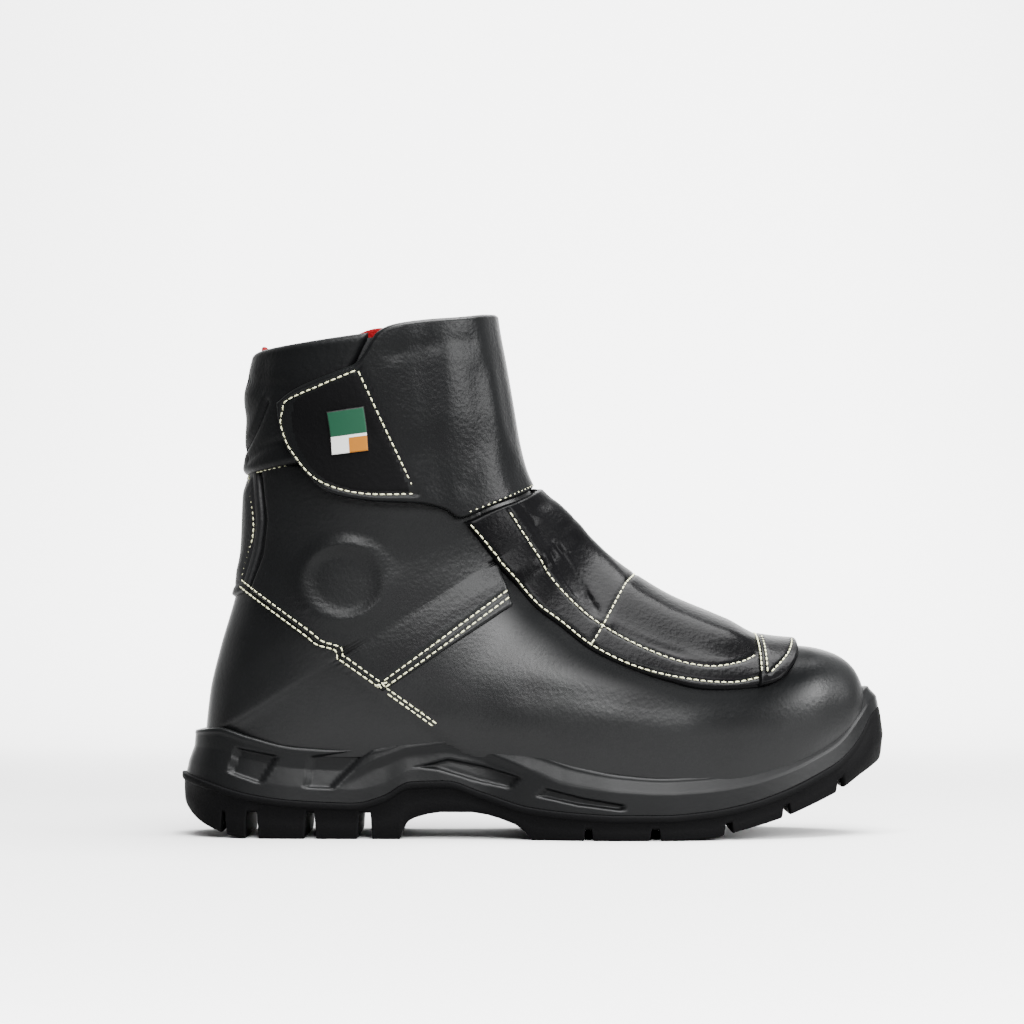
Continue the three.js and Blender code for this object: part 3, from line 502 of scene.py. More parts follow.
def sole_ring(spacing=1.3):
    """Evenly spaced places round the sole's outline, with their outward normals and their heights by name."""
    at = np.linspace(0, SOLE_END, 900)
    both = []
    for name in ("outer", "inner"):
        line = (read_column(sole_table["x"], at), read_column(sole_table[name], at), at)
        both.append(np.stack(line, axis=-1))
    ring = np.vstack((both[0], both[1][::-1][1:-1]))
    closed = np.vstack((ring, ring[:1]))
    run = run_along(closed[:, :2])
    count = int(run[-1] / spacing)
    wanted = np.linspace(0, run[-1], count, endpoint=False)
    x, y, row = (np.interp(wanted, run, closed[:, k]) for k in range(3))
    tangent = np.stack((np.roll(x, -2) - np.roll(x, 2), np.roll(y, -2) - np.roll(y, 2)), axis=-1)
    tangent /= np.linalg.norm(tangent, axis=1, keepdims=True)
    normal = np.stack((tangent[:, 1], -tangent[:, 0]), axis=-1)
    heights = {name: read_column(sole_table[name], row) for name in ("tread", "lip", "rim", "lean")}
    return x, y, normal, heights


def rubber_finish(name, color, roughness, pitting=0.10, scale=420.0, specular=0.10):
    """Moulded rubber: faint mould texture and cloudy gloss."""
    material, tree, shader = finish_of(name, color, roughness, specular)
    place = add_node(tree, "TexCoord", {}).outputs["Object"]
    mould = add_node(tree, "TexNoise", {"Vector": place, "Scale": scale, "Detail": 4}).outputs["Fac"]
    cloud = add_node(tree, "TexNoise", {"Vector": place, "Scale": 18}).outputs["Fac"]
    add_bump(tree, shader, mould, pitting, 0.0005)
    cloudy_gloss(tree, shader, cloud, roughness - 0.05, roughness + 0.12)
    return material


# Midsole: soft black rubber with a satin skin. Its side leans in to the rim and carries a bevel band,
# the arch ridge and the sunk panels at heel and arch.
midsole_rubber = rubber_finish("satin_midsole_rubber", (0.0018, 0.0019, 0.0020), 0.34, specular=0.075)
CLEARANCE, RECESS_DEPTH, RIDGE_HEIGHT, RIM_ROLL_HEIGHT = 0.3, 2.1, 0.9, 0.35
recess_outlines = (
    ((24.3, 38.2), (43.2, 34.9), (35.9, 23.2), (21.3, 27.7)),
    ((57.5, 34.6), (84.2, 38.2), (78.0, 33.0), (66.3, 21.2), (55.6, 21.6)),
    ((102.4, 30.4), (115.5, 33.8), (130.0, 31.0), (145.6, 26.2), (141.0, 21.6), (128.0, 24.4), (112.0, 29.2)),
    ((156.6, 21.8), (152.9, 18.4), (170.0, 14.8), (188.8, 12.6), (189.7, 15.1), (172.0, 18.0)),
)


def inside_depth(x, z, outline):
    """Signed distance into a closed outline, positive inside, in the side view."""
    corners = np.asarray(outline, dtype=float)
    best = np.full(x.shape, 1e9)
    inside = np.zeros(x.shape, dtype=bool)
    for a, b in zip(corners, np.roll(corners, -1, axis=0)):
        leg = b - a
        t = np.clip(((x - a[0]) * leg[0] + (z - a[1]) * leg[1]) / (leg @ leg), 0, 1)
        best = np.minimum(best, np.hypot(x - a[0] - t * leg[0], z - a[1] - t * leg[1]))
        crosses = (a[1] > z) != (b[1] > z)
        where = a[0] + (z - a[1]) / (b[1] - a[1] + 1e-12) * leg[0]
        inside ^= crosses & (x < where)
    return np.where(inside, best, -best)


ring_x, ring_y, ring_normal, ring_height = sole_ring()
# How far in the wall leans, as a share of the lean, against its share of the height
midsole_profile = np.array(((0.00, 0.30), (0.03, 0.32), (0.25, 0.45), (0.60, 0.80), (0.92, 0.88),
                            (0.985, 0.94), (1.0, 1.12)))
midsole_share = spans((0, 0.9, 1.0), (40, 9))
share_grid, x_grid = np.meshgrid(midsole_share, ring_x, indexing="ij")
lean_share = np.interp(share_grid, midsole_profile[:, 0], midsole_profile[:, 1])
height_span = ring_height["rim"] - ring_height["lip"]
midsole_z = ring_height["lip"] + CLEARANCE + share_grid * (height_span - CLEARANCE)
midsole_inset = lean_share * ring_height["lean"]
# From the arch forward and round the toe the wall stands steep up to a soft edge, then bevels in to the rim
bevel_profile = np.array(((0.00, 0.28), (0.52, 0.40), (0.60, 0.47), (0.985, 0.98), (1.0, 1.14)))
BEVEL_KNEE = 0.56
bevel_edge = np.interp(x_grid, (128, 150, 163, 182, 229, 264, 290),
                       (0.80, 0.66, 0.58, 0.60, 0.57, 0.50, 0.52))
above_edge = (share_grid - bevel_edge) / (1 - bevel_edge)
bevel_share = np.where(share_grid < bevel_edge, share_grid / bevel_edge * BEVEL_KNEE,
                       BEVEL_KNEE + above_edge * (1 - BEVEL_KNEE))
bevel = smooth_step(x_grid, 122, 160)
bevel_lean = np.interp(bevel_share, bevel_profile[:, 0], bevel_profile[:, 1])
midsole_inset += bevel * (bevel_lean - lean_share) * ring_height["lean"]
# The arch ridge rises from the heel's lower edge over the shank
ridge_line = np.interp(x_grid, (66, 84, 98, 115, 130, 150), (23.0, 33.0, 38.2, 40.4, 37.0, 29.5))
ridge = smooth_step(x_grid, 60, 84) * (1 - smooth_step(x_grid, 134, 156))
midsole_inset -= ridge * RIDGE_HEIGHT * np.exp(-((midsole_z - ridge_line) / 2.4) ** 2)
for outline in recess_outlines:
    depth_in = inside_depth(x_grid, midsole_z, outline)
    midsole_inset += RECESS_DEPTH * smooth_step(depth_in, -0.35, 0.75)
rim_roll = np.exp(-((share_grid - 0.95) / 0.05) ** 2)
midsole_inset -= RIM_ROLL_HEIGHT * rim_roll
midsole_points = np.stack((ring_x - ring_normal[:, 0] * midsole_inset,
                           ring_y - ring_normal[:, 1] * midsole_inset, midsole_z), axis=-1)
top_edge = midsole_points[-1]
# The rim's top falls in to the upper, under the leather's edge
ledge = []
for step_in, drop in ((1.2, 0.1), (2.6, 0.9), (5.0, 3.2), (8.0, 7.0)):
    ledge.append(top_edge - np.column_stack((ring_normal * step_in, np.full(len(ring_x), drop))))
midsole_rings = np.concatenate((midsole_points, np.array(ledge)))
midsole_rings = np.concatenate((midsole_rings, midsole_rings[:, :1]), axis=1)
midsole_piece = mesh_object("midsole_body", midsole_rings.reshape(-1, 3),
                            grid_faces(*midsole_rings.shape[:2], flip=True), midsole_rubber)
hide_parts("midsole")
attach(midsole_piece, "root")


# Outsole: dense black rubber moulded with a lip round the boot and lugs cut by grooves across the tread.
# The heel block stands behind a raised arch; the lug sides are finely textured and the corners softened.
outsole_rubber = rubber_finish("ribbed_outsole_rubber", (0.0008, 0.0008, 0.0009), 0.62, 0.35, 900.0, 0.028)
# Each groove: centre, width at the floor and depth; the sides draw in towards the top
groove_columns = ("x", "width", "depth")
groove_rows = (
    (0.066, 0.010, 0.040), (0.107, 0.020, 0.049), (0.189, 0.017, 0.049), (0.265, 0.021, 0.049),
    (0.574, 0.014, 0.021), (0.667, 0.016, 0.021), (0.770, 0.014, 0.021), (0.853, 0.014, 0.021),
    (0.933, 0.014, 0.021),
)
groove_table = table_of(groove_columns, groove_rows,
                        {"x": SOLE_LENGTH, "width": SOLE_LENGTH, "depth": BOOT_HEIGHT})
# The underside of the arch, from the heel block's front face to the forefoot
arch_x = (95.6, 97.0, 99.0, 101.5, 107.0, 112.4, 125.9, 132.0, 137.7, 144.0, 147.6, 150.9)
arch_z = (0.0, 5.0, 7.6, 9.0, 10.6, 11.4, 11.4, 10.4, 8.7, 6.3, 3.6, 0.0)
GROOVE_DRAFT = 0.9


def tread_height(x, row_tread):
    """Underside of the tread, with its grooves and the arch."""
    low = row_tread
    for centre, width, depth in zip(*(groove_table[name] for name in groove_columns)):
        out = np.abs(x - centre) - width / 2
        low = low + depth * (1 - smooth_step(out, -GROOVE_DRAFT, 0.05))
    inside_arch = (x > arch_x[0]) & (x < arch_x[-1])
    return np.where(inside_arch, np.maximum(low, np.interp(x, arch_x, arch_z)), low)


station_rows = spans((0, 2, SOLE_END), (40, 520))
# More stations at the groove walls, to keep them crisp
dense_rows = np.linspace(0, SOLE_END, 4000)
dense_x = read_column(sole_table["x"], dense_rows)
wall_rows = []
for centre, width in zip(groove_table["x"], groove_table["width"]):
    for side in (-1, 1):
        for shift in (-1.2, -0.9, -0.6, -0.3, -0.1, 0.1, 0.35):
            wall_rows.append(np.interp(centre + side * (width / 2 + shift), dense_x, dense_rows))
station_rows = np.unique(np.concatenate((station_rows, wall_rows)))
station = {name: read_column(sole_table[name], station_rows) for name in sole_columns}
LIP_HEIGHT = 3.0
lip_drop = np.minimum(LIP_HEIGHT, 0.4 * (station["lip"] - station["tread"]))
floor_z = tread_height(station["x"], station["tread"])
floor_z = np.minimum(floor_z, station["lip"] - lip_drop - 0.4)
side_lines = {}
for side, name in ((-1, "outer"), (1, "inner")):
    run_x, run_y = np.gradient(station["x"]), np.gradient(station[name])
    size = np.hypot(run_x, run_y)
    tangent_x, tangent_y = run_x / size, run_y / size
    tangent_x[0], tangent_y[0] = 0, side
    tangent_x[-1], tangent_y[-1] = 0, -side
    normal_x, normal_y = -side * tangent_y, side * tangent_x
    top_lip = station["lip"] - lip_drop
    # Round the toe the lip sinks into one smooth bumper
    toe = smooth_step(station["x"], 262, 298)
    # From the floor up: how far in the wall lies along the sides, how far in round the toe, and its height
    levels = ((3.0, 3.4, floor_z), (2.0, 2.2, floor_z + 0.02), (1.2, 1.3, floor_z + 0.35),
              (0.95, 0.9, floor_z + 0.9), (0.9, 0.0, (floor_z + top_lip) / 2), (0.9, 1.1, top_lip - 0.3),
              (0.55, 1.25, top_lip), (0.05, 1.3, top_lip + 0.5), (-0.1, 1.35, top_lip + 0.9),
              (-0.1, 1.7, station["lip"] - 0.6), (0.1, 1.95, station["lip"] - 0.15),
              (0.6, 2.3, station["lip"] + 0.05), (2.6, 4.0, station["lip"] + 0.12))
    side_lines[side] = []
    for plain, bumper, z in levels:
        inset = plain + toe * (bumper - plain)
        line = (station["x"] - normal_x * inset, station[name] - normal_y * inset, z)
        side_lines[side].append(np.stack(line, axis=-1))
across = []
for share in np.linspace(0, 1, 41)[1:-1]:
    line = side_lines[-1][0] * (1 - share) + side_lines[1][0] * share
    across.append(np.stack((line[:, 0], line[:, 1], floor_z), axis=-1))
outsole_grid = np.array(side_lines[-1][::-1] + across + side_lines[1])
# A zigzag channel down the middle of the forefoot, and one down the heel, split the lugs in two
channel_x, channel_y = outsole_grid[..., 0], outsole_grid[..., 1]
ZIGZAG_START, ZIGZAG_RUN, ZIGZAG_SWING, ZIGZAG_SHIFT, ZIGZAG_DEPTH = 152, 13.0, 6.5, 3.2, 3.4
HEEL_CHANNEL_Y, HEEL_CHANNEL_DEPTH = -1.5, 3.0
zigzag = ZIGZAG_SWING * np.abs(((channel_x - ZIGZAG_START) / ZIGZAG_RUN) % 2 - 1) - ZIGZAG_SHIFT
in_fore = smooth_step(channel_x, 156, 160) * (1 - smooth_step(channel_x, 276, 282))
in_heel = smooth_step(channel_x, 34, 38) * (1 - smooth_step(channel_x, 88, 92))
channel = in_fore * ZIGZAG_DEPTH * (1 - smooth_step(np.abs(channel_y - zigzag), 1.5, 2.3))
off_heel_channel = np.abs(channel_y - HEEL_CHANNEL_Y)
channel = channel + in_heel * HEEL_CHANNEL_DEPTH * (1 - smooth_step(off_heel_channel, 3.0, 3.9))
underside = np.zeros(outsole_grid.shape[:2])
underside[len(side_lines[-1]):len(side_lines[-1]) + len(across)] = 1
ceiling = (station["lip"] - lip_drop - 0.6)[None, :]
tread_z = outsole_grid[..., 2]
cut_z = np.maximum(np.minimum(tread_z + channel, ceiling), tread_z)
outsole_grid[..., 2] = np.where(underside > 0, cut_z, tread_z)
outsole_piece = mesh_object("outsole_tread", outsole_grid.reshape(-1, 3), grid_faces(*outsole_grid.shape[:2]),
                            outsole_rubber)
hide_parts("outsole")
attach(outsole_piece, "root")


# Insole: a footbed cut from foam with a knitted black cover, lying loose on the midsole inside the boot. It
# cups up a little along both sides.
footbed_cloth = knitted_cloth("footbed_knit", (0.022, 0.022, 0.024), 0.95, 0.2, 700, 0.6)
FOOTBED_MARGIN, FOOTBED_THICKNESS, FOOTBED_CUP = 1.2, 3.0, 1.6
footbed_rows = np.linspace(HEEL_ROW + 1.3, 23, 120)
footbed_edges = [leather_face(np.full(len(footbed_rows), side), footbed_rows, -(WALL + FOOTBED_MARGIN))[0]
                 for side in (-1.0, 1.0)]
FOOTBED_STEPS, FOOTBED_TOP, FOOTBED_SHOULDER = 41, CLEARANCE + FOOTBED_THICKNESS, 2.6
footbed_share = np.concatenate(([0, 0], np.linspace(0.012, 0.988, FOOTBED_STEPS), [1, 1]))
footbed_lift = np.concatenate(([CLEARANCE, FOOTBED_SHOULDER], np.full(FOOTBED_STEPS, FOOTBED_TOP),
                               [FOOTBED_SHOULDER, CLEARANCE]))
footbed_grid = np.array([footbed_edges[0] * (1 - share) + footbed_edges[1] * share + (0, 0, lift)
                         for share, lift in zip(footbed_share, footbed_lift)])
footbed_on_top = footbed_lift[:, None] > FOOTBED_SHOULDER
footbed_grid[:, :, 2] += FOOTBED_CUP * (2 * footbed_share[:, None] - 1) ** 4 * footbed_on_top
insole_piece = mesh_object("footbed", footbed_grid.reshape(-1, 3),
                           grid_faces(*footbed_grid.shape[:2], flip=True), footbed_cloth)
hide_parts("insole")
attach(insole_piece, "root")


# Sewing thread: pale bonded polyester, thick enough to see, lying in the grooves the needle pulled down.
# Every stitch is a short piece of its own, and the stitches of one panel make one mesh.
thread, _, _ = finish_of("pale_sewing_thread", (0.31, 0.31, 0.20), 0.6, 0.15)
STITCH_PITCH, STITCH_LENGTH, STITCH_WIDTH, STITCH_SIDES, STITCH_FLATNESS = 3.0, 2.35, 0.68, 6, 0.8
# Rings of one stitch: share of its length, share of its width, and rise in widths
stitch_rings = np.array(((0.0, 0.35, -0.55), (0.12, 0.85, -0.15), (0.5, 1.0, 0.12), (0.88, 0.85, -0.15),
                         (1.0, 0.35, -0.55)))


def stitched(name, runs, pitch=STITCH_PITCH, length=STITCH_LENGTH, width=STITCH_WIDTH):
    """One mesh of separate stitches along runs of surface points and normals."""
    corners, faces = [], []
    for points, normals in runs:
        run = run_along(points)
        count = max(1, int(run[-1] / pitch))
        start = (run[-1] - count * pitch + (pitch - length)) / 2
        for i in range(count):
            at = start + i * pitch + stitch_rings[:, 0] * length
            spot = np.stack([np.interp(at, run, points[:, k]) for k in range(3)], axis=-1)
            up = np.stack([np.interp(at, run, normals[:, k]) for k in range(3)], axis=-1)
            along = np.gradient(spot, axis=0)
            along /= np.linalg.norm(along, axis=1, keepdims=True)
            cross = np.cross(up, along)
            cross /= np.linalg.norm(cross, axis=1, keepdims=True)
            first = len(corners) * len(stitch_rings) * STITCH_SIDES
            spot = spot + up * (stitch_rings[:, 2] * width)[:, None]
            turn = np.linspace(0, 2 * math.pi, STITCH_SIDES, endpoint=False)[None, :, None]
            round_it = np.cos(turn) * cross[:, None] + STITCH_FLATNESS * np.sin(turn) * up[:, None]
            radius = (stitch_rings[:, 1] * width / 2)[:, None, None]
            corners.append((spot[:, None] + round_it * radius).reshape(-1, 3))
            for j in range(len(stitch_rings) - 1):
                row = first + j * STITCH_SIDES
                for k in range(STITCH_SIDES):
                    a, b = row + k, row + (k + 1) % STITCH_SIDES
                    faces.append((a, b, b + STITCH_SIDES, a + STITCH_SIDES))
    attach(mesh_object(name, np.concatenate(corners), faces, thread), "root")


def face_run(uv, lift):
    """Surface points and normals along u, v points, lifted."""
    return leather_face(uv[:, 0], uv[:, 1], lift)


def seam_places(side_points, side=-1):
    """u and v along a rounded path of side view points, close enough for a seam."""
    return locate(evened(rounded_path(side_points), 0.8), side)


def side_run(side_points, side, lift):
    """A lifted run under side view points."""
    return face_run(seam_places(side_points, side), lift)


# Quarter panels: a second layer of leather on each side, its cut edges running down in a V over the heel
# counter and the vamp, held by twin rows of thread, with an oval ring pressed into the middle.
quarter_leather = leather_finish("black_quarter_leather", (0.0019, 0.0020, 0.0021), 0.34, specular=0.075)
QUARTER_LIFT, QUARTER_THICKNESS = CLEARANCE, 1.3
quarter_outline = ((36.4, 158.0), (39.2, 135.0), (37.4, 119.7), (32.2, 104.8), (66.9, 78.1), (88.2, 62.3),
                   (114.0, 79.4), (142.9, 98.3), (133.8, 126.0), (121.6, 158.0))
RING_CENTRE, RING_SIZE, RING_WIDTH, RING_HEIGHT = (71.5, 108.4), (17.4, 16.0), 3.0, 1.5
# Over the seams the panel lies on the counter and vamp and stands a little higher
LOW_EDGE_EXTRA = 0.7


def sharp_path(points, gap=0.8, closed=False):
    """Straight lines between side view points, with points an even gap apart."""
    corners = np.asarray(points, dtype=float)
    if closed:
        corners = np.vstack((corners, corners[:1]))
    return evened(corners, gap)


PANEL_SPACING, PANEL_EDGE_RADIUS, PANEL_SKIRT = 1.6, 1.0, -0.3
PANEL_GROOVE_DEPTH, PANEL_GROOVE_WIDTH = 0.38, 0.9
PANEL_SCALE = (95.0, 21.0)  # about how many millimetres one step of u, and of v, spans here
EDGE_RINGS = (0.35, 0.8, 1.5, 2.6)  # rows of points that follow the outline, for an even rounded edge


def panel(outline, lift_of, thickness, seams):
    """A leather panel laid on the upper: closed outline in u and v, thick rounded edge, seams pulled in."""
    flat = outline * PANEL_SCALE
    low, high = flat.min(axis=0), flat.max(axis=0)
    gx, gy = np.meshgrid(np.arange(low[0], high[0], PANEL_SPACING), np.arange(low[1], high[1], PANEL_SPACING))
    gx[1::2] += PANEL_SPACING / 2
    inner = np.stack((gx.ravel(), gy.ravel()), axis=-1)
    centre_line = np.roll(flat, -1, axis=0) - np.roll(flat, 1, axis=0)
    centre_line /= np.linalg.norm(centre_line, axis=1, keepdims=True) + 1e-9
    area = np.sum(flat[:, 0] * np.roll(flat[:, 1], -1) - np.roll(flat[:, 0], -1) * flat[:, 1])
    inward = np.stack((-centre_line[:, 1], centre_line[:, 0]), axis=-1) * (1 if area > 0 else -1)
    depth = inside_depth(inner[:, 0], inner[:, 1], flat)
    inner = inner[depth > EDGE_RINGS[-1] + 0.6]
    keep = [flat]
    for inset in EDGE_RINGS:
        ring = flat + inward * inset
        keep.append(ring[inside_depth(ring[:, 0], ring[:, 1], flat) > inset * 0.75])
    places = [Vector(place) for place in np.vstack(keep + [inner]).tolist()]
    count = len(flat)
    border = [(i, (i + 1) % count) for i in range(count)]
    found, _, triangles, _, _, _ = delaunay_2d_cdt(places, border, [list(range(count))], 1, 1e-5)
    uv = np.array([(place.x, place.y) for place in found]) / PANEL_SCALE
    bare, _ = leather_face(uv[:, 0], uv[:, 1])
    rim, _ = leather_face(outline[:, 0], outline[:, 1])
    gap = distance_to(bare, evened(np.vstack((rim, rim[:1])), 0.4))
    edge_share = np.clip(gap / PANEL_EDGE_RADIUS, 0, 1)
    rise = thickness * np.sqrt(np.clip(1 - (1 - edge_share) ** 2, 0, 1))
    for seam in seams:
        rise = rise - PANEL_GROOVE_DEPTH * trough(bare, seam, PANEL_GROOVE_WIDTH)
    points, _ = leather_face(uv[:, 0], uv[:, 1], lift_of(bare) + rise)
    edge_low, _ = leather_face(outline[:, 0], outline[:, 1], PANEL_SKIRT)
    faces = [tuple(face) for face in triangles]
    base = len(points)
    for i in range(count):
        j = (i + 1) % count
        faces.append((j, i, base + i, base + j))
    return np.concatenate((points, edge_low)), faces


def quarter_rise(bare):
    """How high the panel's underside lies: its lift, the pressed ring, and the extra over the seams."""
    ring = np.hypot((bare[:, 0] - RING_CENTRE[0]) / RING_SIZE[0],
                    (bare[:, 2] - RING_CENTRE[1]) / RING_SIZE[1])
    mm_off = (ring - 1) * (RING_SIZE[0] + RING_SIZE[1]) / 2
    press = RING_HEIGHT * np.exp(-(mm_off / RING_WIDTH) ** 2)
    return QUARTER_LIFT + press + LOW_EDGE_EXTRA * (1 - smooth_step(bare[:, 2], 104, 122))


rear_seam = ((28.0, 109.2), (62.2, 84.0), (87.6, 65.9))
front_seam = ((87.6, 65.9), (112.8, 84.0), (141.4, 105.2))
rear_seam_low = ((27.0, 106.6), (61.2, 81.6), (88.0, 63.0))
front_seam_low = ((88.0, 63.0), (114.6, 81.8), (142.6, 102.4))
quarter_seams = (rear_seam, front_seam, rear_seam_low, front_seam_low)
quarter_sides = ((-1, "quarter_panel_lateral", "quarter_outer"), (1, "quarter_panel_medial", "quarter_inner"))
for side, name, node in quarter_sides:
    outline_uv = locate(sharp_path(quarter_outline, closed=True)[:-1], side)
    seam_paths = [leather_face(*locate(sharp_path(path), side).T)[0] for path in quarter_seams]
    panel_points, panel_faces = panel(outline_uv, quarter_rise, QUARTER_THICKNESS, seam_paths)
    if side > 0:
        panel_faces = [face[::-1] for face in panel_faces]
    quarter_piece = mesh_object(name, panel_points, panel_faces, quarter_leather)
    bm = bmesh.new()
    bm.from_mesh(quarter_piece.data)
    bmesh.ops.recalc_face_normals(bm, faces=bm.faces)
    bm.to_mesh(quarter_piece.data)
    bm.free()
    quarter_piece.data.shade_smooth()
    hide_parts(node)
    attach(quarter_piece, "root")
lift_on_quarter = QUARTER_LIFT + QUARTER_THICKNESS + 0.12
quarter_rows = []
for side in (-1, 1):
    for path in quarter_seams:
        quarter_rows.append(face_run(locate(sharp_path(path), side), lift_on_quarter - 0.3 + LOW_EDGE_EXTRA))
    # The rear seam runs on below the crossing, where the vamp is sewn over the heel counter
    for path in (((88.6, 64.4), (111.7, 48.2)), ((89.3, 61.8), (110.2, 47.2))):
        quarter_rows.append(face_run(locate(sharp_path(path), side), COUNTER_STEP + 0.15))
    # Bar tacks lock the crossing and the strip's foot
    for path in (((85.4, 66.6), (88.6, 62.4)), ((86.8, 67.2), (90.2, 63.0)), ((84.6, 64.4), (90.6, 66.2))):
        uv = locate(sharp_path(path, 0.5), side)
        quarter_rows.append(face_run(uv, lift_on_quarter + 0.1 + LOW_EDGE_EXTRA))
stitched("quarter_seam_thread", quarter_rows)


# Back strip: a narrow panel of softer leather over the back of the ankle, where the boot bends. It is lightly
# padded and sewn down along both edges with a close double chain of thread.
strip_leather = leather_finish("black_flex_strip_leather", (0.0024, 0.0025, 0.0027), 0.45, 0.22,
                               specular=0.08)
STRIP_LIFT, STRIP_THICKNESS, STRIP_EDGE = CLEARANCE, 1.5, 1.1
STRIP_GROOVE_AT, STRIP_GROOVE_DEPTH, STRIP_GROOVE_WIDTH, STRIP_SWELL = 4.6, 0.4, 0.9, 0.9
strip_side = ((34.3, 158.6), (35.6, 150.0), (37.0, 135.0), (36.2, 126.0), (34.9, 119.4), (30.6, 106.2),
              (29.0, 104.4))
strip_edge = locate(rounded_path(strip_side))
strip_v = np.linspace(strip_edge[0, 1], strip_edge[-1, 1], 90)
strip_reach = 1 + np.interp(strip_v, strip_edge[:, 1], strip_edge[:, 0])


def closing_in(count, share):
    """Numbers from -1 to 1 that stand closer together towards both ends."""
    line = np.linspace(-1, 1, count)
    return (1 - share) * line + share * np.sin(line * math.pi / 2)


def edge_round(points, radius, thickness):
    """How high a sheet's face stands, from none at its edge to the full thickness, and how far in it is."""
    border = np.concatenate((points[0], points[1:-1, -1], points[-1][::-1], points[1:-1, 0][::-1]))
    gap = distance_to(points, evened(np.vstack((border, border[:1])), 0.4))
    share = np.clip(gap / radius, 0, 1)
    rise = thickness * np.sqrt(1 - (1 - share) ** 2)
    rise[0], rise[-1], rise[:, 0], rise[:, -1] = 0, 0, 0, 0
    return rise, gap


def laid_sheet(name, node, slot, material, u, v, under, rise, sink=0.8):
    """A sheet on the upper's face with its rim closed down to the leather."""
    points, _ = leather_face(u, v, under + rise)
    low, _ = leather_face(u, v, np.maximum(under - sink, -0.4))
    first_row = np.concatenate((low[:1, :1], low[:1], low[:1, -1:]), axis=1)
    middle = np.concatenate((low[:, :1], points, low[:, -1:]), axis=1)
    last_row = np.concatenate((low[-1:, :1], low[-1:], low[-1:, -1:]), axis=1)
    whole = np.concatenate((first_row, middle, last_row))
    piece = mesh_object(name, whole.reshape(-1, 3), grid_faces(*whole.shape[:2], flip=True), material)
    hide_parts(node)
    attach(piece, "root")
    return piece


strip_across = closing_in(61, 0.25)
strip_u = -1 + strip_across[None, :] * strip_reach[:, None]
strip_grid_v = np.repeat(strip_v[:, None], len(strip_across), axis=1)
strip_bare, _ = leather_face(strip_u, strip_grid_v)
strip_rise, strip_gap = edge_round(strip_bare, STRIP_EDGE, STRIP_THICKNESS)
# A sewn groove runs along the edge, and the padding swells inside it
strip_groove = np.exp(-((strip_gap - STRIP_GROOVE_AT) / STRIP_GROOVE_WIDTH) ** 2)
strip_rise = strip_rise - STRIP_GROOVE_DEPTH * strip_groove + STRIP_SWELL * smooth_step(strip_gap, 5, 12)
laid_sheet("back_strip_panel", "back_strip", "leather", strip_leather, strip_u, strip_grid_v, STRIP_LIFT,
           strip_rise)
strip_seams = (((30.6, 155.5), (32.0, 145.2), (33.3, 135.3), (32.9, 127.5), (30.4, 118.5), (28.2, 109.9)),
               ((29.0, 155.2), (30.3, 145.0), (31.6, 135.3), (31.2, 127.9), (28.8, 119.2), (26.7, 110.8)))
strip_runs = [side_run(path, side, STRIP_LIFT + STRIP_THICKNESS - 0.15)
              for side in (-1, 1) for path in strip_seams]
stitched("strip_chain_thread", strip_runs, 2.5, 2.2, 0.85)


# Collar: the foam padded back of the shaft top, soft leather folded over the edge and sewn down at its foot
# with two rows of thread. The slack leather lies in folds, most of all on the outer side.
collar_leather = leather_finish("soft_padded_collar_leather", (0.0016, 0.0017, 0.0018), 0.42, 0.22, 420.0,
                                0.04)
COLLAR_LIFT, COLLAR_THICKNESS, COLLAR_EDGE, COLLAR_TOP, COLLAR_SEAM_LIFT = CLEARANCE, 4.0, 3.4, 0.86, 1.2
collar_side = ((82.0, 211.0), (72.0, 190.0), (64.0, 172.0), (60.5, 165.0), (54.0, 158.6))
collar_edge = locate(rounded_path(collar_side))
collar_v = np.linspace(COLLAR_TOP, collar_edge[-1, 1], 110)
collar_front = np.interp(collar_v, collar_edge[:, 1], collar_edge[:, 0])
collar_across = np.linspace(-1, 1, 181)
collar_u = -1 + collar_across[None, :] * (1 + collar_front)[:, None]
collar_grid_v = np.repeat(collar_v[:, None], len(collar_across), axis=1)
collar_bare, _ = leather_face(collar_u, collar_grid_v)
collar_rise, _ = edge_round(collar_bare, COLLAR_EDGE, COLLAR_THICKNESS)
# Side view path, width and depth of each crease, and the sides that have it
collar_creases = (
    (((30.0, 162.5), (33.0, 168.0), (37.0, 176.0), (40.5, 185.0)), 1.9, 1.8, (-1,)),
    (((33.0, 161.0), (40.0, 166.0), (48.0, 168.5)), 2.4, 0.8, (-1,)),
    (((30.0, 196.0), (38.0, 192.0), (48.0, 191.0)), 3.4, 1.0, (-1,)),
    (((29.0, 178.0), (34.0, 182.0), (38.0, 190.0), (40.0, 200.0)), 5.0, 0.55, (-1, 1)),
)
for path, width, depth, sides in collar_creases:
    for side in sides:
        collar_rise -= depth * trough(collar_bare, on_face(path, side), width)
collar_piece = laid_sheet("collar_pad", "collar", "padded_leather", collar_leather, collar_u, collar_grid_v,
                          COLLAR_LIFT, collar_rise)
collar_seams = (((34.0, 157.6), (42.0, 159.2), (53.0, 161.6)), ((34.0, 155.2), (42.0, 156.8), (53.6, 159.4)))
collar_runs = [side_run(path, side, COLLAR_LIFT + COLLAR_SEAM_LIFT)
               for side in (-1, 1) for path in collar_seams]
stitched("collar_foot_thread", collar_runs)


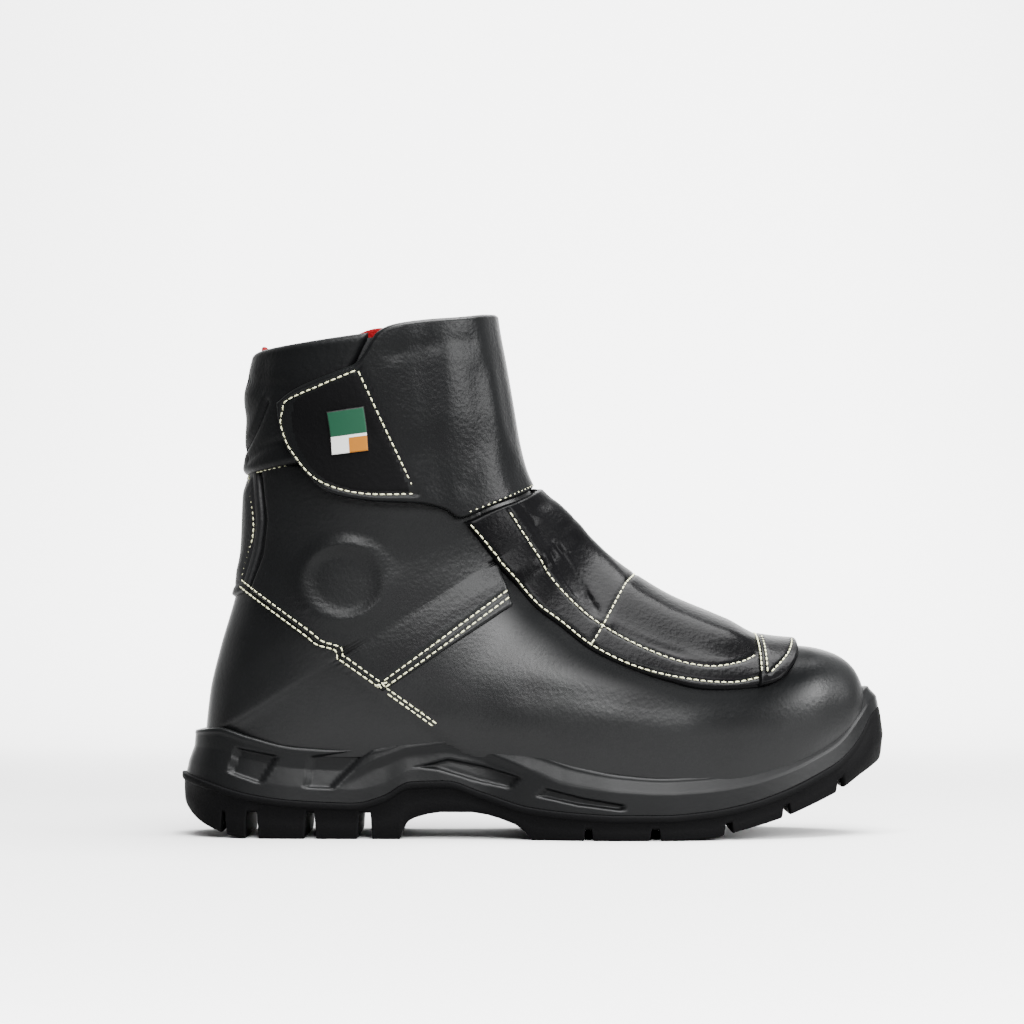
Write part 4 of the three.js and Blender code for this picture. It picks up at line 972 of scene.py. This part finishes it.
# Cuff: one wide piece of thick leather wrapping the front of the shaft, its closing flap laid back over the
# collar on the outer side and held by a hook patch sewn through it; raw rolled edges, seam along the foot.
cuff_leather = leather_finish("cuff_leather", (0.0017, 0.0018, 0.0019), 0.32, 0.18, 460.0, 0.048)
CUFF_THICKNESS, CUFF_INNER_END, CUFF_EDGE = 3.2, 0.52, 1.9
CUFF_GROOVE_DEPTH, CUFF_GROOVE_WIDTH = 0.6, 1.1
cuff_top_side = ((46.6, 185.1), (54.6, 191.0), (74.0, 199.1), (77.8, 201.2), (80.7, 205.0), (83.3, 210.0),
                 (85.5, 213.4), (91.3, 216.8), (103.9, 219.3), (120.8, 221.4), (133.3, 224.3), (137.1, 225.1))
cuff_foot_side = ((46.6, 181.8), (47.5, 174.6), (49.6, 167.0), (52.5, 161.1), (60.5, 151.0), (68.1, 145.5),
                  (82.8, 142.6), (101.0, 141.7), (109.8, 140.0), (114.5, 138.4), (120.4, 135.2),
                  (132.9, 140.4), (147.0, 145.9), (152.6, 150.8))


def edge_reader(side_points):
    """v of an edge at |u|, from side view points running forward."""
    uv = locate(rounded_path(side_points, 6))
    order = np.argsort(-uv[:, 0])
    return lambda u: np.interp(np.abs(u), -uv[order, 0], uv[order, 1])


cuff_top_at, cuff_foot_at = edge_reader(cuff_top_side), edge_reader(cuff_foot_side)
cuff_tip = locate(((46.6, 183.4),))[0, 0]


def cuff_under(u):
    """The cuff climbs from the shaft over the quarter panel, then over the collar on the flap's side."""
    return (CLEARANCE + (QUARTER_THICKNESS + CLEARANCE) * smooth_step(np.abs(u), 0.10, 0.22)
            + (COLLAR_THICKNESS - QUARTER_THICKNESS) * smooth_step(-u, 0.36, 0.46))


def lifted_line(uv, lift):
    """The path through places on the upper's face, lifted off it."""
    return leather_face(uv[:, 0], uv[:, 1], lift)[0]


cuff_u_line = spans((cuff_tip, cuff_tip + 0.03, CUFF_INNER_END - 0.02, CUFF_INNER_END), (14, 190, 8))
cuff_down = spans((0, 0.03, 0.97, 1), (9, 110, 9))
cuff_u, cuff_share = np.meshgrid(cuff_u_line, cuff_down)
cuff_v = cuff_top_at(cuff_u) + cuff_share * (cuff_foot_at(cuff_u) - cuff_top_at(cuff_u))
cuff_bare, _ = leather_face(cuff_u, cuff_v, cuff_under(cuff_u))
cuff_rise, _ = edge_round(cuff_bare, CUFF_EDGE, CUFF_THICKNESS)
# The hook patch's thread: its rounded back and foot, and its straight front
patch_side = ((78.2, 197.8), (64.0, 191.6), (51.2, 185.6), (49.5, 181.3), (48.7, 176.3), (50.4, 169.5),
              (52.5, 164.1), (59.2, 154.4), (68.1, 148.9), (81.6, 145.9), (101.0, 145.9))
patch_line = ((78.2, 197.8), (85.6, 181.0), (93.4, 163.2), (101.0, 145.9))
patch_paths = [evened(rounded_path(patch_side), 0.8), sharp_path(patch_line)]
for path in patch_paths:
    uv = locate(path)
    line = lifted_line(uv, cuff_under(uv[:, 0]))
    cuff_rise -= CUFF_GROOVE_DEPTH * trough(cuff_bare, line, CUFF_GROOVE_WIDTH)
# Side view path, width and depth of each slack fold; a negative depth is a ridge
cuff_creases = (
    (((104.0, 148.0), (110.0, 165.0), (113.0, 185.0), (112.0, 205.0)), 7.0, -0.8),
    (((122.0, 150.0), (127.0, 170.0), (126.0, 195.0)), 6.0, 0.7),
    (((140.0, 162.0), (134.0, 176.0), (130.0, 196.0)), 6.0, -0.6),
    (((92.0, 205.0), (104.0, 208.0), (122.0, 210.0)), 4.0, 0.5),
    (((60.0, 172.0), (70.0, 176.0), (82.0, 172.0)), 6.0, 0.5),
)
for path, width, depth in cuff_creases:
    for side in (-1, 1):
        uv = locate(evened(rounded_path(path), 1.0), side)
        cuff_rise -= depth * trough(cuff_bare, lifted_line(uv, cuff_under(uv[:, 0])), width)
cuff_piece = laid_sheet("cuff_wrap", "cuff", "leather", cuff_leather, cuff_u, cuff_v, cuff_under(cuff_u),
                        cuff_rise, 0.5)
# Inside its thread the cuff is given a darker, duller leather than the rest
patch_leather = leather_finish("dull_patch_leather", (0.0009, 0.0009, 0.0010), 0.62, 0.2, 460.0, 0.022)
cuff_piece.data.materials.append(patch_leather)
patch_outline = np.vstack((patch_paths[0], patch_paths[1][-2:0:-1]))
face_centres = np.array([tuple(face.center) for face in cuff_piece.data.polygons]) / MM + (HALF_LENGTH, 0, 0)
inside_thread = inside_depth(face_centres[:, 0], face_centres[:, 2], patch_outline) > 0.7
in_patch = (face_centres[:, 1] < 0) & inside_thread
cuff_piece.data.polygons.foreach_set("material_index", in_patch.astype(np.int32))
cuff_runs = []
for path in patch_paths:
    uv = locate(path)
    cuff_runs.append(face_run(uv, cuff_under(uv[:, 0]) + CUFF_THICKNESS - 0.35))
# The cuff's foot is turned and sewn down to the guard's hinge
hinge_seam = ((121.4, 137.6), (133.4, 142.2), (147.0, 147.9), (151.4, 151.4))
for side in (-1, 1):
    uv = seam_places(hinge_seam, side)
    cuff_runs.append(face_run(uv, cuff_under(uv[:, 0]) + CUFF_THICKNESS - 0.25))
stitched("hook_patch_thread", cuff_runs)


# Guard: a padded shield hinged under the cuff and lying over the vamp; a flat sewn border, a tall foam
# dome inside the inner seam, a crease where the foot bends, and one seam across the instep.
guard_leather = leather_finish("guard_leather", (0.0009, 0.0009, 0.0010), 0.28, 0.16, 460.0, 0.021)
# Thickness at the border, at the toe and on the foam; the row where the guard ends
GUARD_EDGE, GUARD_TOE, GUARD_PAD, GUARD_END = 3.0, 2.0, 7.6, 20.55
GUARD_LEAST_REACH, GUARD_UNDER_CUFF = 0.12, 0.14
GUARD_EDGE_RADIUS, GUARD_GROOVE_DEPTH, GUARD_GROOVE_WIDTH, RIDGE_REACH = 1.8, 0.55, 1.0, 0.16
guard_side = ((121.8, 133.9), (129.2, 124.5), (136.4, 114.8), (143.5, 107.2), (152.4, 97.0), (163.0, 89.0),
              (176.8, 78.5), (195.3, 70.1), (209.6, 65.5), (222.2, 62.6), (238.2, 62.6), (252.8, 64.8),
              (261.2, 71.0), (265.6, 77.6))
GUARD_START = locate(rounded_path(guard_side, 6))[0, 1]


def reach_reader(side_points):
    """|u| of an edge at v, from side view points."""
    uv = locate(rounded_path(side_points, 6))
    order = np.argsort(uv[:, 1])
    return lambda v: np.interp(v, uv[order, 1], -uv[order, 0])


guard_edge_at = reach_reader(guard_side)


def guard_reach(v):
    """|u| of the guard's outer edge at v."""
    return np.maximum(GUARD_LEAST_REACH, guard_edge_at(v))


def guard_top(p):
    """v of the guard's upper edge, just under the cuff's foot; p runs from edge to edge, -1 to 1."""
    return cuff_foot_at(np.abs(p) * guard_reach(GUARD_START)) + GUARD_UNDER_CUFF


def guard_places(p, q):
    """u and v on the guard; q runs from its upper edge, 0, to its toe end, 1."""
    top = guard_top(p)
    v = top + q * (GUARD_END - top)
    return p * guard_reach(v), v


def guard_under(p, q):
    """How high the guard's underside lies: highest over the quarter panels, a little higher at the toe."""
    over_quarter = smooth_step(np.abs(p), 0.50, 0.70) * (1 - smooth_step(q, 0.42, 0.50))
    return CLEARANCE + (QUARTER_THICKNESS + CLEARANCE) * over_quarter + CLEARANCE * smooth_step(q, 0.7, 0.9)


# The foam's edge in side view; outside it the leather dips to the inner seam
pad_edge_side = ((150.0, 142.0), (154.6, 136.0), (163.0, 126.3), (171.5, 113.6), (178.7, 102.1),
                 (185.5, 93.6), (196.9, 86.9), (218.1, 78.6), (235.0, 74.6), (244.3, 75.4), (248.6, 80.0))
pad_edge_at = reach_reader(pad_edge_side)
MM_PER_U = 62.0  # about how many millimetres one step of u spans on the guard


def pad_share(u, v):
    """0 outside the foam, 1 on top of it."""
    inside_mm = (pad_edge_at(v) - np.abs(u)) * MM_PER_U
    return smooth_step(inside_mm, -1.5, 9.5)


def guard_body(p, q):
    """The guard's thickness: a flat border, thinner at the toe, and the foam inside it."""
    u, v = guard_places(p, q)
    along = smooth_step(q, -0.12, 0.10) * (1 - smooth_step(q, 0.86, 0.96))
    border = GUARD_EDGE + (GUARD_TOE - GUARD_EDGE) * smooth_step(q, 0.80, 0.92)
    return border + (GUARD_PAD - GUARD_EDGE) * pad_share(u, v) * along


guard_p, guard_q = np.meshgrid(closing_in(201, 0.3), spans((0, 0.02, 0.985, 1), (8, 200, 8)))
guard_u, guard_v = guard_places(guard_p, guard_q)
guard_bare, _ = leather_face(guard_u, guard_v, guard_under(guard_p, guard_q))
guard_round, _ = edge_round(guard_bare, GUARD_EDGE_RADIUS, 1.0)
guard_rise = guard_body(guard_p, guard_q) * guard_round
guard_seams_side = {
    "outer": ((122.6, 133.9), (130.2, 124.9), (137.3, 115.5), (144.4, 107.9), (153.4, 98.0), (163.5, 90.4),
              (176.8, 80.2), (195.3, 71.4), (216.7, 66.3), (234.8, 65.1), (247.9, 67.2)),
    "inner": ((138.9, 138.5), (150.3, 121.2), (160.1, 107.2), (170.6, 96.2), (180.4, 88.6), (195.6, 80.1),
              (211.7, 73.7), (225.7, 71.2), (238.8, 72.9), (246.5, 75.9)),
    "across": ((193.6, 112.0), (187.0, 99.8), (180.4, 87.7), (175.9, 80.6)),
}


def on_guard(uv):
    """p and q of places given by u and v."""
    p = np.clip(uv[:, 0] / guard_reach(uv[:, 1]), -1, 1)
    top = guard_top(p)
    return p, (uv[:, 1] - top) / (GUARD_END - top)


guard_runs = []
for name, path in guard_seams_side.items():
    for side in (-1, 1):
        uv = seam_places(path, side)
        if name == "across":
            # The side view can't place the part nearest the ridge, so it runs straight over
            uv = uv[np.argmax(np.abs(uv[:, 0]) > RIDGE_REACH):]
            more = np.linspace(uv[0, 0], 0, 30)[1:]
            ridge_v = np.interp(np.abs(more), (0, abs(uv[0, 0])), (uv[0, 1] + 0.04, uv[0, 1]))
            uv = np.vstack((np.stack((more[::-1], ridge_v[::-1]), axis=-1), uv))
        p, q = on_guard(uv)
        line = lifted_line(uv, guard_under(p, q))
        guard_rise -= GUARD_GROOVE_DEPTH * trough(guard_bare, line, GUARD_GROOVE_WIDTH)
        guard_runs.append(face_run(uv, guard_under(p, q) + guard_body(p, q) - 0.35))
# Side view path, width and depth of each crease where the foot bends
guard_creases = (
    (((152.0, 131.0), (160.0, 118.5), (168.0, 106.5), (177.0, 94.5)), 3.6, 1.2),
    (((160.0, 124.0), (166.0, 115.0), (172.0, 105.0), (178.0, 96.0)), 1.3, 0.7),
    (((157.0, 120.0), (163.0, 111.0), (169.0, 102.0)), 0.9, 0.45),
    (((166.0, 119.0), (171.0, 110.0), (175.5, 100.0)), 0.9, 0.4),
    (((186.0, 86.5), (200.0, 80.5), (214.0, 76.0)), 2.4, 0.45),
)
for path, width, depth in guard_creases:
    for side in (-1, 1):
        uv = locate(evened(rounded_path(path), 1.0), side)
        line = lifted_line(uv, guard_under(*on_guard(uv)))
        guard_rise -= depth * trough(guard_bare, line, width) * guard_round
guard_piece = laid_sheet("guard_shield", "metatarsal_guard", "padded_leather", guard_leather, guard_u,
                         guard_v, guard_under(guard_p, guard_q), guard_rise, 0.3)

# The border lies flat here, so a dull band on the vamp stands for the shadow that a lifted border throws:
# full up to the first distance in millimetres and gone at the second
SHADE_NEAR, SHADE_FAR, SHADE_GLOSS = 4.0, 20.0, 0.012
shade = np.zeros(upper_points.shape[:2])
for side in (-1, 1):
    off_border = distance_to(upper_points, on_face(guard_side, side))
    shade = np.maximum(shade, 1 - smooth_step(off_border, SHADE_NEAR, SHADE_FAR))
shade_layer = upper_piece.data.attributes.new("border_shade", "FLOAT", "POINT")
shade_layer.data.foreach_set("value", shade.ravel().astype(np.float32))
leather_tree = leather.node_tree
shade_read = add_node(leather_tree, "Attribute", {}, attribute_name="border_shade")
shade_gloss = add_node(leather_tree, "MapRange", {"Value": shade_read.outputs["Fac"],
                                                  "To Min": LEATHER_GLOSS, "To Max": SHADE_GLOSS})
leather_tree.links.new(shade_gloss.outputs["Result"],
                       leather_tree.nodes["Principled BSDF"].inputs["Specular IOR Level"])
stitched("guard_thread", guard_runs)


# Guard toe tab: a small piece of the same leather laid over the guard's front end, sewn on with a double row
# across and one row round its edge.
TAB_THICKNESS, TAB_EDGE, TAB_START = 1.6, 1.2, 0.925
TAB_GROOVE_DEPTH, TAB_GROOVE_WIDTH = 0.4, 0.9
tab_p, tab_q = np.meshgrid(closing_in(161, 0.3), np.linspace(TAB_START, 1.0, 44))
tab_u, tab_v = guard_places(tab_p, tab_q)
tab_under = 3 * CLEARANCE + GUARD_TOE
tab_bare, _ = leather_face(tab_u, tab_v, tab_under)
tab_rise, _ = edge_round(tab_bare, TAB_EDGE, TAB_THICKNESS)
tab_seams = (((246.9, 84.6), (247.4, 76.0), (247.3, 67.6)), ((249.3, 84.2), (249.8, 76.0), (249.7, 67.8)),
             ((263.2, 81.4), (262.6, 79.2), (259.0, 74.4), (250.6, 67.6)))
tab_runs = []
for path in tab_seams:
    for side in (-1, 1):
        uv = seam_places(path, side)
        tab_rise -= TAB_GROOVE_DEPTH * trough(tab_bare, lifted_line(uv, tab_under), TAB_GROOVE_WIDTH)
        tab_runs.append(face_run(uv, tab_under + TAB_THICKNESS - 0.25))
laid_sheet("guard_toe_piece", "guard_toe_tab", "leather", guard_leather, tab_u, tab_v, tab_under, tab_rise,
           2.0)
stitched("toe_tab_thread", tab_runs)


# Label: a small textile tag on the closing flap, about 15 by 19 mm, woven in plain green, white and ochre
# bands inside a narrow black rim.
LABEL_THICKNESS, LABEL_EDGE, LABEL_SEAT = 0.8, 0.7, 0.1
label_corners = locate(((66.4, 180.4), (80.8, 182.6), (82.6, 163.8), (68.2, 161.6)))
label_s, label_t = np.meshgrid(np.linspace(0, 1, 60), np.linspace(0, 1, 80))
label_uv = []
for corner in label_corners.T:
    top_line = (1 - label_s) * corner[0] + label_s * corner[1]
    foot_line = (1 - label_s) * corner[3] + label_s * corner[2]
    label_uv.append((1 - label_t) * top_line + label_t * foot_line)
label_under = 2 * CLEARANCE + COLLAR_THICKNESS + CUFF_THICKNESS + LABEL_SEAT
label_bare, _ = leather_face(*label_uv, label_under)
label_rise, _ = edge_round(label_bare, LABEL_EDGE, LABEL_THICKNESS)
label_colors = (("green", (0.0006, 0.018, 0.0080)), ("white", (0.24, 0.24, 0.23)),
                ("ochre", (0.12, 0.042, 0.0012)), ("black", (0.003, 0.003, 0.003)))
label_bands = [finish_of("woven_label_" + name, color, 0.6, 0.1)[0] for name, color in label_colors]
label_piece = laid_sheet("flap_label", "safety_label", "label_print", label_bands[0], *label_uv, label_under,
                         label_rise, 1.0)
for band in label_bands[1:]:
    label_piece.data.materials.append(band)
# Green above a white line, then white beside ochre, all inside a black rim: places as shares of the label
GREEN_END, LINE_END, OCHRE_START, RIM_ACROSS, RIM_DOWN = 0.58, 0.63, 0.5, 0.045, 0.035
GREEN, WHITE, OCHRE, BLACK = range(4)
label_rows, label_columns = label_s.shape[0] + 1, label_s.shape[1] + 1
down = np.repeat(np.arange(label_rows), label_columns) / label_rows
across = np.tile(np.arange(label_columns), label_rows) / label_columns
label_band = np.where(across < OCHRE_START, WHITE, OCHRE)
label_band = np.where(down < LINE_END, WHITE, label_band)
label_band = np.where(down < GREEN_END, GREEN, label_band)
in_rim = (down < RIM_DOWN) | (down > 1 - RIM_DOWN) | (across < RIM_ACROSS) | (across > 1 - RIM_ACROSS)
label_band = np.where(in_rim, BLACK, label_band)
label_piece.data.polygons.foreach_set("material_index", label_band.astype(np.int32))
